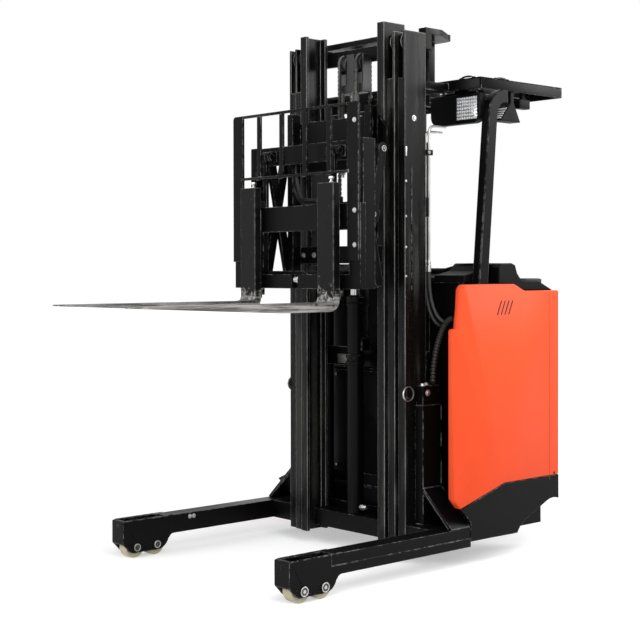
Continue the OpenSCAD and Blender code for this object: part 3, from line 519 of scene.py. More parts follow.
def weld_bead(start, end, radius, seed):
    """A weld along a corner: a bar whose radius swells with |sin| from one drop to the next, sunk into the
    corner."""
    start, end = np.array(start, float), np.array(end, float)
    length = np.linalg.norm(end - start)
    count = max(10, int(length / BEAD_RING))
    s = np.linspace(0, 1, count)
    drops = length / BEAD_DROP
    swell = 0.72 + 0.28 * np.abs(np.sin(PI * drops * s + seed))
    swell += 0.07 * np.sin(2 * PI * s * drops * 0.17 + 2 * seed)
    swell *= np.minimum(1.0, np.minimum(s, 1 - s) * count / 2.5 + 0.15)
    side = Z if abs(unit(end - start)[2]) < 0.7 else X
    return swept(start + (end - start) * s[:, None], radius * swell, side, 7)


# ---------------------------------------------------------------- legs and mast
def axle_ends():
    """Retaining rings and hollow pin heads on both faces of each leg."""
    outer = np.array([(x, LEG_Y + 0.003, AXLE_Z) for x in AXLES_X])
    inner = outer - np.array((0.0, 0.095, 0.0))
    rings = [rim_rings(outer, Y, 0.0205, 0.0045, 0.003), rim_rings(inner, RIGHT, 0.0175, 0.004, 0.003)]
    rings += [button(0.0085, 0.0022, 0.006, 0.003, 0.0025, outer, Y, 6, 0.2)]
    zinc("axle_retaining_rings", pairs(rings))


def leg_details():
    """Weld lines along the straddle legs, plugs in their ends and bolts on their inner faces."""
    lines = [weld_bead((0.33, y, 0.1765), (0.6, y, 0.1765), 0.0016, y * 50)
             for y in (LEG_Y - 0.002, LEG_Y - 0.09)]
    plugs = button(0.009, 0.001, 0.0075, 0.0018, 0.003, (0.6115, LEG_Y - 0.046, 0.15), X, 18)
    painted("leg_weld_lines", pairs(lines + [plugs]))
    bolts = [(x, LEG_Y - 0.092, 0.157) for x in (0.236, 0.214)]
    zinc("leg_bolts", pairs(hex_bolts(bolts, RIGHT, 0.013, 0.006)))


def mast_fasteners():
    """Bolts, an open slot with its bright edge, a welded strip and the trunnion hub on the mast's outer
    face."""
    trunnion = (-0.292, RAIL_Y, 0.764)
    bolts = hex_bolts((-0.332, RAIL_Y, 2.001), Y, 0.016, 0.008, 0.5)
    bolts += socket_screws([(-0.28, RAIL_Y, z) for z in (1.717, 1.56, 1.422, 1.292)], Y, 0.011, 0.003)
    zinc("mast_side_bolts", pairs(bolts + [rim_rings(trunnion, Y, 0.034, 0.004, 0.006)]))
    painted("trunnion_hubs", pairs([button(0.024, 0.007, 0.02, 0.01, 0.006, trunnion, Y, 24)]))
    slot = slab((-0.2855, RAIL_Y - 0.001, 1.828), (-0.2765, RAIL_Y + 0.0025, 1.872), 0.0044, 0.0006, 1, 8)
    zinc("mast_slot_insert", pairs([slot]))
    strip = slab((-0.3205, RAIL_Y - 0.001, 1.23), (-0.3135, RAIL_Y + 0.002, 1.79), 0.003, 0.0008, 1)
    painted("mast_side_strip", pairs([strip]))


def guide_roller_faces():
    """Shields, rims and hollow middles on the rollers that show at the heads of the rails."""
    outline = mm(37, -1, 37, 2, 34, 4, 22, 4, 20, 1, 12, 1, 11, 5, 4, 6)
    for body, x, y in (("chassis", -0.326, 0.352), ("middle_stage", -0.314, 0.298)):
        zinc(body + "_head_rollers", pairs([turned(outline, (x, y, 2.348), RIGHT, 40)]), body)


PIPE_X, PIPES_Y = -0.434, (0.364, 0.388)     # the twin pipes up the mast's left side
HOSE_TOP = 1.311                             # where the hoses leave them


def pipe_clips():
    """The clip that holds the twin pipes, a rounded block with its screw."""
    plastic("pipe_clips", [slab((-0.452, 0.352, 1.84), (-0.408, 0.4, 1.864), 0.006, 0.002, 2)])
    zinc("pipe_clip_screws", hex_bolts((-0.424, 0.4, 1.852), Y, 0.01, 0.005))


def pipe_fittings():
    """Six-sided union nuts and swaged collars where the bright pipes meet the hoses."""
    nut = mm(8.5, 0, 9.8, 2, 9.8, 16, 8.5, 18)
    collar = mm(9.9, 0, 10.4, 2, 9.8, 10, 10.4, 18, 9.8, 26, 10.2, 30, 8, 32)
    nuts = turned(nut, [(PIPE_X, y, 1.345) for y in PIPES_Y], Z, 6)
    zinc("pipe_union_nuts", [nuts, turned(collar, [(PIPE_X, y, HOSE_TOP) for y in PIPES_Y], Z, 20)])


def bright_pipes():
    """The twin plated pipes: round bars carried straight up and round one bend to the rear."""
    sheets, bend = [], 0.034
    for y in PIPES_Y:
        top = 1.962 + (y - 0.376)
        x, z = arc((PIPE_X - bend, top - bend), bend, 1, 0, 10).T
        path = np.vstack([(-0.545, y, top), np.stack([x, 0 * x + y, z], 1), (PIPE_X, y, 1.346)])
        sheets.append(swept(path, 0.0059, Y, 14))
    skin("bright_pipes", sheets, "chassis", bright_pipe)


def hose_runs():
    """Two hoses from the pipes' collars to the bulkhead: cubic bows that leave both ends square, with
    swaged ends."""
    nut = mm(12.5, 0, 13.5, 2, 13.5, 12, 11.5, 14, 9.8, 30, 9, 32)
    hoses, nuts = [], []
    for y, end in zip(PIPES_Y, ((-0.501, 0.43, 1.06), (-0.501, 0.462, 1.076))):
        start, end = np.array((PIPE_X, y, HOSE_TOP)), np.array(end)
        path = bow(start, start - (0, 0, 0.19), end + (0.075, 0, 0), end, 40)
        hoses.append(swept(path, 0.0082, (1, 1, 0), 14))
        nuts.append(turned(nut, end, X, 6))
    rubber("hose_runs", hoses)
    plastic("hose_bulkhead_nuts", nuts)


def guard_cables():
    """Cable in low loops along the guard's rim: half ovals set on edge, ending in the rim."""
    y, z = arc((0.475, 2.186), (-0.043, 0.017), 0, 2, 24).T
    front = swept(np.stack([0 * y - 0.596, y, z], 1), 0.0045, X, 12)
    x, z = arc((-0.745, 2.186), (-0.045, 0.014), 0, 2, 24).T
    rubber("guard_cables", [front, swept(np.stack([x, 0 * x + 0.554, z], 1), 0.0045, Y, 12)])


def column_details():
    """Bolts on the column caps, and rough weld beads up the column's edge and round its foot plate."""
    bolts = hex_bolts([(-0.348, 0.43, 0.8), (-0.392, 0.41, 0.8)], Z, 0.017, 0.01)
    zinc("column_bolts", pairs(bolts + hex_bolts((-0.36, 0.45, 0.768), Y, 0.018, 0.006)))
    rear, fore, face = -0.4475, -0.3285, 0.452
    beads = (((rear, 0.4495, 0.708), (rear, 0.4495, 0.64), 0.0044, 0),
             ((rear, 0.4495, 0.585), (rear, 0.4495, 0.52), 0.0044, 1),
             ((rear, 0.4495, 0.455), (rear, 0.4495, 0.35), 0.0044, 2),
             ((rear, 0.4485, 0.7125), (fore, 0.4485, 0.7125), 0.0032, 4),
             ((-0.446, face, 0.343), (-0.33, face, 0.343), 0.004, 5),
             ((rear, face, 0.34), (rear, 0.604, 0.18), 0.0042, 6),
             ((fore, face, 0.33), (fore, 0.604, 0.178), 0.0034, 7),
             ((-0.446, 0.6215, 0.181), (-0.33, 0.6215, 0.181), 0.0036, 8),
             ((-0.329, 0.401, 0.18), (-0.329, 0.449, 0.18), 0.0036, 9))
    skin("column_weld_beads", pairs([weld_bead(*bead) for bead in beads]), "chassis", weld_steel)


def conduit_ribs():
    """The corrugated conduit: a bar along the frame's own bow whose radius rises and falls as a sine of
    its length."""
    p = ((-0.4968, 0.47, 1.096), (-0.4368, 0.47, 1.096), (-0.418, 0.426, 0.95), (-0.418, 0.426, 0.806))
    ribs, rings = 26, 360
    radius = 0.0126 + 0.0024 * np.sin(2 * PI * ribs * np.linspace(0, 1, rings))
    rubber("conduit_ribs", [swept(bow(*np.array(p), rings), radius, (1, -1, 0), 16)])
    nut = mm(13.5, 0, 15, 2, 15, 14, 12.5, 16)
    ends = ((-0.418, 0.424, 0.8), Z), ((-0.5009, 0.47, 1.096), X)
    plastic("conduit_nuts", [turned(nut, at, way, 6) for at, way in ends])


FREE_LIFT = (-0.34, 0)                       # the free-lift cylinder's middle line


def cylinder_clamp():
    """The clamp round the free-lift cylinder: two turned rings and the rounded bar between them."""
    outline = mm(39.5, 0, 44.5, 2, 44.5, 18, 39.5, 20)
    rings = [turned(outline, (*FREE_LIFT, z), Z, 40) for z in (0.872, 0.904)]
    painted("free_lift_clamp", rings, "inner_stage")
    bar = slab((-0.362, -0.13, 0.876), (-0.346, -0.03, 0.92), 0.006, 0.002, 0)
    oiled("free_lift_clamp_bar", [bar], "inner_stage")


def cylinder_glands():
    """Gland nuts on the cylinders: a turned collar with a groove and a wiper lip; and the free-lift
    cylinder's port."""
    side = mm(28.5, 0, 30, 2, 30, 10, 28.5, 12, 28.5, 16, 30, 18, 30, 36, 28, 40, 19, 40)
    painted("side_cylinder_glands", pairs([turned(side, (-0.465, 0.322, 1.863), Z, 32)]))
    free = mm(41.5, 0, 42.8, 2, 42.8, 14, 41.5, 16, 41.5, 21, 42.8, 23, 42.8, 40, 40, 43, 28, 43)
    painted("free_lift_gland", [turned(free, (*FREE_LIFT, 1.15), Z, 40)], "inner_stage")
    port = mm(14, -2, 14, 20, 11, 22, 11, 34, 9, 36)
    zinc("free_lift_port", [turned(port, (FREE_LIFT[0], 0.038, 0.205), Y, 6)], "inner_stage")


def chain_ends():
    """Threaded anchors of the chains with their nuts, under the carriage's anchor plates."""
    sheets = []
    for y in (0.035, -0.035):
        foot = (-0.295, y, 1.804)
        sheets += [turned(mm(7, -50, 7, 0, 6, 2), foot, Z, 14),
                   turned(mm(12, -22, 13, -20, 13, -10, 12, -8), foot, Z, 6),
                   turned(mm(12, -36, 13, -34, 13, -26, 12, -24), foot, Z, 6)]
    zinc("chain_anchor_nuts", sheets, "carriage")


# ---------------------------------------------------------------- reach group
def carriage_plate():
    """The wide cut-cornered plate on the carriage's front, a flat outline carried 16 mm."""
    half, foot, top = 0.331, 1.78, 2.02
    right = [(half - 0.08, foot), (half, foot + 0.08), (half, top - 0.06), (half - 0.06, top)]
    outline = [(-y, z) for y, z in right[1::-1]] + right + [(-y, z) for y, z in right[:1:-1]]
    painted("carriage_front_plate", [plank(outline, 0, -0.2385, -0.2225)], "carriage")


def carriage_fasteners():
    """Cap screws on the carriage's two cross plates."""
    face = -0.215
    bolts = hex_bolts([(face, y, 1.884) for y in (-0.226, -0.193, -0.12, 0.12, 0.193)], X, 0.019, 0.009)
    bolts += hex_bolts([(face, y, 1.39) for y in (-0.225, -0.15, 0.15, 0.225)], X, 0.016, 0.008)
    zinc("carriage_bolts", bolts, "carriage")


def spiral_guards():
    """Hoses in spiral guards across the carriage: a coil of flat wire carried round a hanging curve."""
    hoses, wires = [], []
    coils, coil_radius = 30, 0.0098
    t = np.linspace(0, 1, 900)
    turns = 2 * PI * coils * t[:, None]
    for d in (0.0, 0.026):
        path = curve([(-0.19, -0.282 + d, 1.85), (-0.186, -0.276 + d, 1.79), (-0.178, -0.25 + d, 1.715),
                      (-0.172, -0.205 + d * 0.6, 1.655), (-0.176, -0.15, 1.624 + d * 0.9),
                      (-0.184, -0.096, 1.622 + d * 0.9)], 60)
        hoses.append(swept(path, 0.0085, X, 12))
        way = unit(np.gradient(path, axis=0))
        u = unit(np.cross(way, X))
        steps = np.arange(len(path))
        at, u, v = (np.stack([np.interp(t * steps[-1], steps, line[:, k]) for k in range(3)], 1)
                    for line in (path, u, np.cross(way, u)))
        coil = at + coil_radius * (np.cos(turns) * u + np.sin(turns) * v)
        wires.append(swept(coil, 0.0019, (0.7, 0.3, 0.65), 6))
    rubber("carriage_hose_run", hoses, "carriage")
    oiled("spiral_hose_guards", wires, "carriage")


def backrest():
    """The load backrest: two wide outer bars with rounded upper corners, four slim bars and two thin cross
    rails."""
    (x0, _, foot), (x1, edge, top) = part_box("backrest")
    corner = arc((edge - 0.016, top - 0.016), 0.016, 0, 1, 7)
    outer = np.vstack([[(edge - 0.072, foot), (edge, foot)], corner, [(edge - 0.072, top)]])
    bars = [both(plank(outer, 0, x0, x1, 0.0015))]
    bars += [slab((x0 + 0.001, y - 0.014, 1.748), (x1 - 0.001, y + 0.014, top - 0.006), 0.002, 0.0012, 2)
             for y in (-0.24, -0.08, 0.08, 0.24)]
    bars += [slab((x0, -edge + 0.06, top - 0.013), (x1, edge - 0.06, top), 0.002, 0.0012, 1),
             slab((x0, -edge + 0.06, 1.741), (x1 + 0.004, edge - 0.06, 1.753), 0.002, 0.0012, 1)]
    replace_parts(painted("load_backrest", bars, "fork_carriage"), "backrest")


def backrest_bolts():
    """Bolts through the load backrest's left outer bar, and the slim bars' foot welds."""
    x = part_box("backrest")[1][0]
    bolts = hex_bolts([(x, 0.405, z) for z in (1.577, 1.428, 1.965)], X, 0.0132, 0.007, 0.4)
    zinc("backrest_bolts", bolts, "fork_carriage")
    x += 0.0004
    beads = [weld_bead((x, y, 1.7375), (x, y + 0.03, 1.7375), 0.0026, y * 9)
             for y in (-0.257, -0.097, 0.063, 0.223)]
    skin("backrest_weld_beads", beads, "fork_carriage", weld_steel)


def evenly(line, count):
    """count points spread evenly along a broken line in a plane."""
    length = np.r_[0, np.cumsum(np.linalg.norm(np.diff(line, axis=0), axis=1))]
    at = np.linspace(0, 1, count) * length[-1]
    return np.stack([np.interp(at, length, line[:, k]) for k in (0, 1)], 1)


def fork_blades():
    """The forks: a side outline with a round heel, drawn in towards the tip, whose width narrows over the
    last of the blade."""
    x0, thick, tip, half, edge, narrowed = 0.055, 0.04, 1.117, 0.0525, 0.0025, 0.085
    front_x = x0 + thick
    for side, body in ((1, "fork_left"), (-1, "fork_right")):
        low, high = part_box(body)
        mid, top, foot = side * 0.267, high[2], low[2]
        heel = arc((x0 + 0.055, foot + 0.055), 0.055, 2, 3, 12)
        root = arc((front_x + 0.018, foot + thick + 0.018), 0.018, 2, 3, 8)
        s = np.linspace(0, 1, 40)[:, None]
        x = front_x + 0.05 + (tip - front_x - 0.05) * s
        under = np.hstack([x, foot + np.maximum(0, (s - 0.24) / 0.76) * (thick - 0.0065)])
        over = np.hstack([x, foot + thick + 0 * s])
        shank = np.hstack([np.full((24, 1), x0), np.linspace(top, foot + 0.06, 24)[:, None]])
        back = evenly(np.vstack([shank, heel, under]), 90)
        front = evenly(np.vstack([[(front_x, top)], root, over]), 90)
        across = unit(front - back) * edge
        near_tip = np.clip(((back[:, 0] + front[:, 0]) / 2 - (tip - narrowed)) / narrowed, 0, 1)
        width = half - near_tip ** 2 * 0.024
        flank = ((back, width - edge), (back + across, width), (front - across, width), (front, width - edge))
        corners = [(line, -y) for line, y in flank] + [(line, y) for line, y in flank[::-1]]
        sheet = np.stack([np.stack([line[:, 0], mid + y, line[:, 1]], 1) for line, y in corners], 1)[None]
        hooks = [slab((0.0242, mid - 0.0405, z0), (x0 + 0.001, mid + 0.0405, z1), 0.003, 0.002, 1)
                 for z0, z1 in ((1.6104, 1.64), (1.205, 1.2355))]
        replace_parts(skin(body + "_blade", [sheet] + hooks, body, fork_steel, 28), body)


def fork_details():
    """Lock pins on the forks' upper hooks, turned knobs on stems; and weld lines where hook meets shank."""
    outline = mm(10, -2, 10, 6, 6, 8, 6, 16, 12, 18, 13, 24, 11, 29, 4, 30)
    for body in ("fork_left", "fork_right"):
        (_, y0, _), (_, y1, top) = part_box(body)
        zinc(body + "_lock_pin", [turned(outline, (0.058, (y0 + y1) / 2, top), Z, 24)], body)
        beads = [weld_bead((x, y, z0), (x, y, z1), radius, y * seed)
                 for x, z0, z1, radius, seed, inset in ((0.0585, 1.5, 1.6, 0.0032, 7, 0.0015),
                                                        (0.0545, 1.19, 1.232, 0.004, 5, 0.001))
                 for y in (y0 + inset, y1 - inset)]
        skin(body + "_weld_beads", beads, body, weld_steel)


def scissor_retainers():
    """Spring rings and grease nipples on the ends of the scissor's pins."""
    outline = mm(4, 0, 4, 3, 2.5, 4, 2.5, 6, 1.5, 7)
    for body, at in (("scissor_a", (-0.13, 0.34, 1.566)), ("carriage", (-0.19, 0.344, 1.86))):
        nipple = turned(outline, at, Y, 12)
        zinc(body + "_pin_rings", pairs([rim_rings(at, Y, 0.0135, 0.003, 0.0022), nipple]), body)


# ---------------------------------------------------------------- body and operator's place
PANEL_Y = (0.586, 0.622)                     # inner and outer face of the side panels
PROUD_Y = (0.6212, 0.6224)                   # what is drawn on their outer faces


def side_panels():
    """The orange side panels: a flat outline with a round front corner and a stepped top, carried 36 mm;
    the right one ends at the bulkhead."""
    corner, lip = arc((-0.426, 1.22), 0.034, 8 / 90, 1, 8), arc((-0.356, 1.046), 0.012, 0, 1, 6)
    rear = mm(-752, 1254, -766, 1249, -818, 1226, -832, 1222, -1070, 1222, -1078, 1214, -1078, 352, -684, 350)
    left = np.vstack([mm(-385, 265, -344, 312), lip, mm(-376, 1060, -388, 1150), corner, rear])
    right = np.vstack([mm(-501, 298, -501, 1246, -509, 1254), rear])
    for name, outline, side in (("side_panel_left", left, 1), ("side_panel_right", right, -1)):
        panel = [plank(outline, 1, side * PANEL_Y[0], side * PANEL_Y[1], 0.0022)]
        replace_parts(skin(name + "_skin", panel, "chassis", orange_paint, 50), name)
    # Vent slots: thin dark plates just proud of each panel's face, painted shade standing for the slots'
    # insides.
    slots, lean, half, length, pitch = [], math.radians(24), 0.0045, 0.064, 0.026
    way, across = np.array((-math.sin(lean), math.cos(lean))), np.array((math.cos(lean), math.sin(lean)))
    t = np.linspace(0, PI, 7)[:, None]
    cap = half * (np.sin(t) * way + np.cos(t) * across)
    for k in range(4):
        foot = np.array((-0.636 - pitch * k, 1.118))
        slots.append(both(plank(np.vstack([foot + way * length + cap, foot - cap]), 1, *PROUD_Y, 0.0003)))
    plastic("vent_slot_painted_shade", slots, material=vent_painted_shade)


def hood_shell():
    """The black hood: shoulders beside the mast that rise outwards, a hump with a round rear, a sunk
    console and sloped arm rests."""
    front = arc((-0.663, 1.32), 0.03, 60 / 90, 1, 5)
    rear = arc((-0.78, 1.316), 0.034, 1, 2, 8)
    slope = mm(-820, 1304, -846, 1276, -870, 1268, -975, 1266, -992, 1260, -1072, 1226)
    side = np.vstack([mm(-513, 1262, -513, 1294, -611, 1314), front, rear, slope, mm(-1074, 1218, -768, 1218)])
    middle = mm(-513, 1262, -513, 1284, -600, 1298, -640, 1301, -756, 1299, -768, 1290, -768, 1262)
    shoulder = mm(180, 1262, 180, 1302, 345, 1338, 400, 1347, 440, 1350, 520, 1350, 532, 1344, 532, 1262)
    rest = np.vstack([mm(-690, 1222, -690, 1330, -705, 1346, -780, 1350, -806, 1340), slope, mm(-1074, 1222)])
    sheets = [both(plank(side, 1, 0.345, 0.532, 0.004)), plank(middle, 1, -0.346, 0.346),
              both(plank(shoulder, 0, -0.7, -0.64, 0.003)),
              both(plank(rest, 1, 0.531, 0.586, 0.004)),
              both(slab((-0.706, 0.531, 1.236), (-0.513, 0.586, 1.256), 0.003, 0.002, 1)),
              slab((-0.72, -0.586, 0.276), (-0.708, 0.586, 1.264), 0.002, 0.001, 1)]
    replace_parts(plastic("hood_shell", sheets, sharp=28), "hood")


def steering():
    """A low steering wheel sunk in the console: a ring, three flat spokes and a turned hub."""
    at, radius, thick = np.array((-0.68, 0.18, 1.318)), 0.07, 0.0095
    t, c = 2 * PI * np.arange(60)[:, None] / 60, 2 * PI * np.arange(12)[None] / 12
    out = radius + thick * np.cos(c)
    ring = at + np.stack([out * np.cos(t), out * np.sin(t), thick * np.sin(c) + 0 * t], -1)
    sheets = [ring[None, :31], np.concatenate([ring[30:], ring[:1]])[None],
              turned(mm(26, -14, 26, 2, 22, 6, 8, 7), at, Z, 36)]
    for k in range(3):
        a = 0.5 + k * 2 * PI / 3
        way = np.array((math.cos(a), math.sin(a), 0))
        sheets.append(swept([at + d * way for d in (0.02, 0.045, 0.068)], 0.0055, Z, 10))
    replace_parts(plastic("sunk_steering_wheel", sheets, "steering_wheel", 50), "steering_wheel")


def front_apron():
    """A plate that closes the body's front below the bulkhead."""
    painted("front_apron", [slab((-0.512, -0.535, 0.094), (-0.502, 0.535, 0.29), 0.004, 0.002, 0)])


def panel_details():
    """Shadow gaps of the panels' rear strips, latch screws, bulkhead bolts and the bulkhead's two hatches."""
    # A thin dark strip on each panel's face: painted shade of the gap at its rear strip.
    gap = slab((-1.0105, 0.6215, 0.33), (-1.0085, 0.6224, 1.212), 0.0004, 0.0002, 1, 1)
    plastic("panel_shadow_gap", pairs([gap]), material=shadow_gap)
    plastic("panel_latch_screws", pairs(socket_screws((-1.045, 0.6215, 0.36), Y, 0.012, 0.002)))
    zinc("bulkhead_bolts", pairs(hex_bolts([(-0.501, 0.518, z) for z in (1.206, 0.94)], X, 0.016, 0.007)))
    painted("bulkhead_hatches", [slab((-0.5012, -0.33, low), (-0.4985, 0.33, high), 0.012, 0.001, 0)
                                 for low, high in ((0.33, 0.83), (0.842, 1.24))])
    corners = [(-0.4985, y, z) for y in (-0.305, 0.305) for z in (0.355, 0.805, 0.868, 1.215)]
    zinc("hatch_screws", socket_screws(corners, X, 0.014, 0.003))


def arm_pads():
    """Padded arm rests on top of the side walls, crowned all round."""
    pads = both(cushion((-1.03, 0.365, 1.254), (-0.88, 0.572, 1.279), 0.28))
    plastic("arm_pads", [pads], sharp=60, material=padded_vinyl)


def knee_pad():
    """The leaning pad on the dashboard's rear face: a crowned cushion with a sewn channel across it,
    exp(-(z/8 mm)^2) deep."""
    seam_z = 0.97
    pad = cushion((-0.752, -0.3, 0.76), (-0.706, 0.3, 1.18), 0.24, 28, 64)
    pad[..., 0] += 0.011 * np.exp(-((pad[..., 2] - seam_z) / 0.008) ** 2) * (pad[..., 0] < -0.729)
    plastic("knee_pad", [pad], sharp=60, material=padded_vinyl)
    seam = curve([(-0.7425, -0.285, seam_z), (-0.7435, 0.0, seam_z), (-0.7425, 0.285, seam_z)], 30)
    plastic("knee_pad_piping", [swept(seam, 0.0022, Z, 8)])


def mat_ribs():
    """Raised ribs of the standing mat, long half-round bars side by side; and the foot pedal."""
    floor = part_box("cabin_floor")[1][2]
    low = np.array([(-1.05, y - 0.008, floor - 0.001) for y in np.linspace(-0.3, 0.3, 21)])
    pedal = slab((-0.9, 0.12, floor), (-0.79, 0.23, floor + 0.018), 0.014, 0.005, 2)
    ribs = slab(low, low + (0.3, 0.016, 0.005), 0.0075, 0.002, 2)
    for name, sheet in (("mat_ribs", ribs), ("foot_pedal", pedal)):
        skin(name, [sheet], "chassis", floor_mat)


def dashboard():
    """Display, key switch, stop knob and lever block on the hump beside the steering wheel."""
    top = 1.3005
    plastic("display_case", [slab((-0.735, -0.07, top - 0.002), (-0.662, 0.06, top + 0.011), 0.012, 0.004, 2)])
    glass = slab((-0.727, -0.058, top + 0.0105), (-0.674, 0.048, top + 0.0118), 0.005, 0.0005, 2)
    plastic("display_glass", [glass], material=display_glass)
    key = turned(mm(13, -1, 13, 3, 11, 5, 9, 4.5), (-0.7, 0.085, top), Z, 24)
    blade = slab((-0.7015, 0.076, top + 0.003), (-0.6985, 0.094, top + 0.02), 0.001, 0.0006, 1)
    zinc("key_switch", [key, blade])
    stop = mm(16, -1, 16, 8, 21, 11, 22.5, 17, 20, 23, 12, 26.5, 3, 27)
    skin("stop_knob", [turned(stop, (-0.745, -0.3, 1.3), Z, 32)], "chassis", stop_red)
    block = slab((-0.79, -0.25, 1.215), (-0.762, -0.12, 1.262), 0.008, 0.003, 2)
    knob = mm(5, -4, 9.5, 2, 10.5, 12, 9, 20, 4, 24)
    rows = (-0.155, -0.185, -0.215)
    knobs = [turned(knob, (-0.776, y, 1.29), (-0.5, 0, 0.86), 18) for y in rows]
    plastic("lever_block", [block] + knobs)
    levers = [curve([(-0.735, y, 1.225), (-0.752, y, 1.262), (-0.776, y, 1.292)], 12) for y in rows]
    zinc("hydraulic_levers", [swept(lever, 0.0045, Y, 10) for lever in levers])


# ---------------------------------------------------------------- overhead guard and lamps
GUARD_TOP = 2.19


def overhead_guard():
    """The guard: a folded rim with an inward flange, seven bars along it, short posts to the mast's top
    plate and brackets to the rails."""
    x0, x1, y, z0, z1, thick, flange = -1.154, -0.566, 0.582, 2.14, GUARD_TOP, 0.006, 0.06
    rim = [slab((x, -y, z0), (x + thick, y, z1), 0.002, 0.0015, 1) for x in (x0, x1 - thick)]
    rim += [both(slab((x0, y - thick, z0), (x1, y, z1), 0.002, 0.0015, 0))]
    rim += [slab((x, -y, z1 - thick), (x + flange, y, z1), 0.004, 0.0015, 1) for x in (x0, x1 - flange)]
    rim += [both(slab((x0, y - flange, z1 - thick), (x1, y, z1), 0.004, 0.0015, 0))]
    rim += [slab((x0 + 0.04, m - 0.008, z1 - 0.04), (x1 - 0.04, m + 0.008, z1 - 0.001), 0.002, 0.001, 0)
            for m in flange - y + np.arange(1, 8) * 2 * (y - flange) / 8]
    rim += [both(slab((-0.612, 0.216, z1 - 0.003), (x1, 0.262, 2.388), 0.004, 0.002, 2)),
            both(slab((x1 - 0.004, 0.352, z0 + 0.004), (-0.4095, 0.388, z0 + 0.036), 0.003, 0.002, 0))]
    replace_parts(painted("guard_frame", rim), "overhead_guard")


def guard_posts():
    """The guard's posts: a square tube carried straight up with a slight lean, then round a bend backwards
    under the guard."""
    top, x, rear_x = 2.146, -0.558, -0.62
    bend = arc((-0.741, top - 0.12), (-0.115, 0.12), 2, 1, 9)[1:]
    front = np.vstack([[(x, 0.28), (x, 1.265), (-0.626, top - 0.12)], bend])
    rear = arc((-0.746, top - 0.12), (-0.06, 0.06), 1, 2, 6)
    outline = np.vstack([front, [(-0.76, top), (-0.76, top - 0.06)], rear, [(rear_x, 1.265), (rear_x, 0.28)]])
    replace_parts(painted("guard_post_tubes", [both(plank(outline, 1, 0.536, 0.582, 0.004))]), "guard_posts")


def guard_details():
    """Bolts, washers and cable clips on the guard's rim and the mast's top plate."""
    bolts = hex_bolts([(-0.566, y, 2.164) for y in (-0.47, -0.12)], X, 0.012, 0.006)
    rim = [(x, y, GUARD_TOP) for x, y in ((-0.596, 0.5), (-1.12, 0.5), (-1.12, 0.25))]
    zinc("guard_bolts", bolts + pairs(hex_bolts(rim, Z, 0.015, 0.007)))
    plate = [(x, side * y, 2.418) for x, y in mm(-560, 180, -630, 120, -440, 355) for side in (1, -1)]
    zinc("mast_top_plate_bolts", hex_bolts(plate, Z, 0.018, 0.008))
    ties = ((-0.596, 0.434, Y), (-0.596, 0.516, Y), (-0.702, 0.554, X), (-0.788, 0.554, X))
    plastic("cable_ties", [rim_rings((x, y, GUARD_TOP), way, 0.0095, 0.003, 0.006) for x, y, way in ties])


def lamp_bodies():
    """The work lamp's pressed body with rounded lower corners, its hanger and cross rod, and the three-
    sided rear lamp."""
    y0, y1, top = 0.24, 0.546, 2.126
    left = arc((y0 + 0.046, 2.036), 0.046, 2, 3, 8)
    right = np.stack([y0 + y1 - left[::-1, 0], left[::-1, 1]], 1)
    sheets = [plank(np.vstack([[(y0, top)], left, right, [(y1, top)]]), 0, -0.645, -0.6, 0.005),
              slab((-0.65, 0.376, 2.118), (-0.62, 0.456, GUARD_TOP), 0.004, 0.002, 0),
              swept([(-0.635, y, 2.134) for y in (0.258, 0.4, 0.535)], 0.007, Z, 16)]
    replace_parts(plastic("work_lamp_body", sheets), "work_light")
    wedge = [(-0.857, 2.003), *REAR_LAMP, (-0.786, GUARD_TOP), (-0.81, GUARD_TOP), (-0.81, 2.09)]
    sheets = [plank(wedge, 1, 0.506, 0.574, 0.003),
              slab((-0.945, 0.52, 2.072), (-0.868, 0.56, 2.114), 0.006, 0.002, 2),
              slab((-0.92, 0.53, 2.11), (-0.896, 0.55, GUARD_TOP), 0.004, 0.001, 2)]
    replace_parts(plastic("rear_lamp_body", sheets), "rear_lamp")


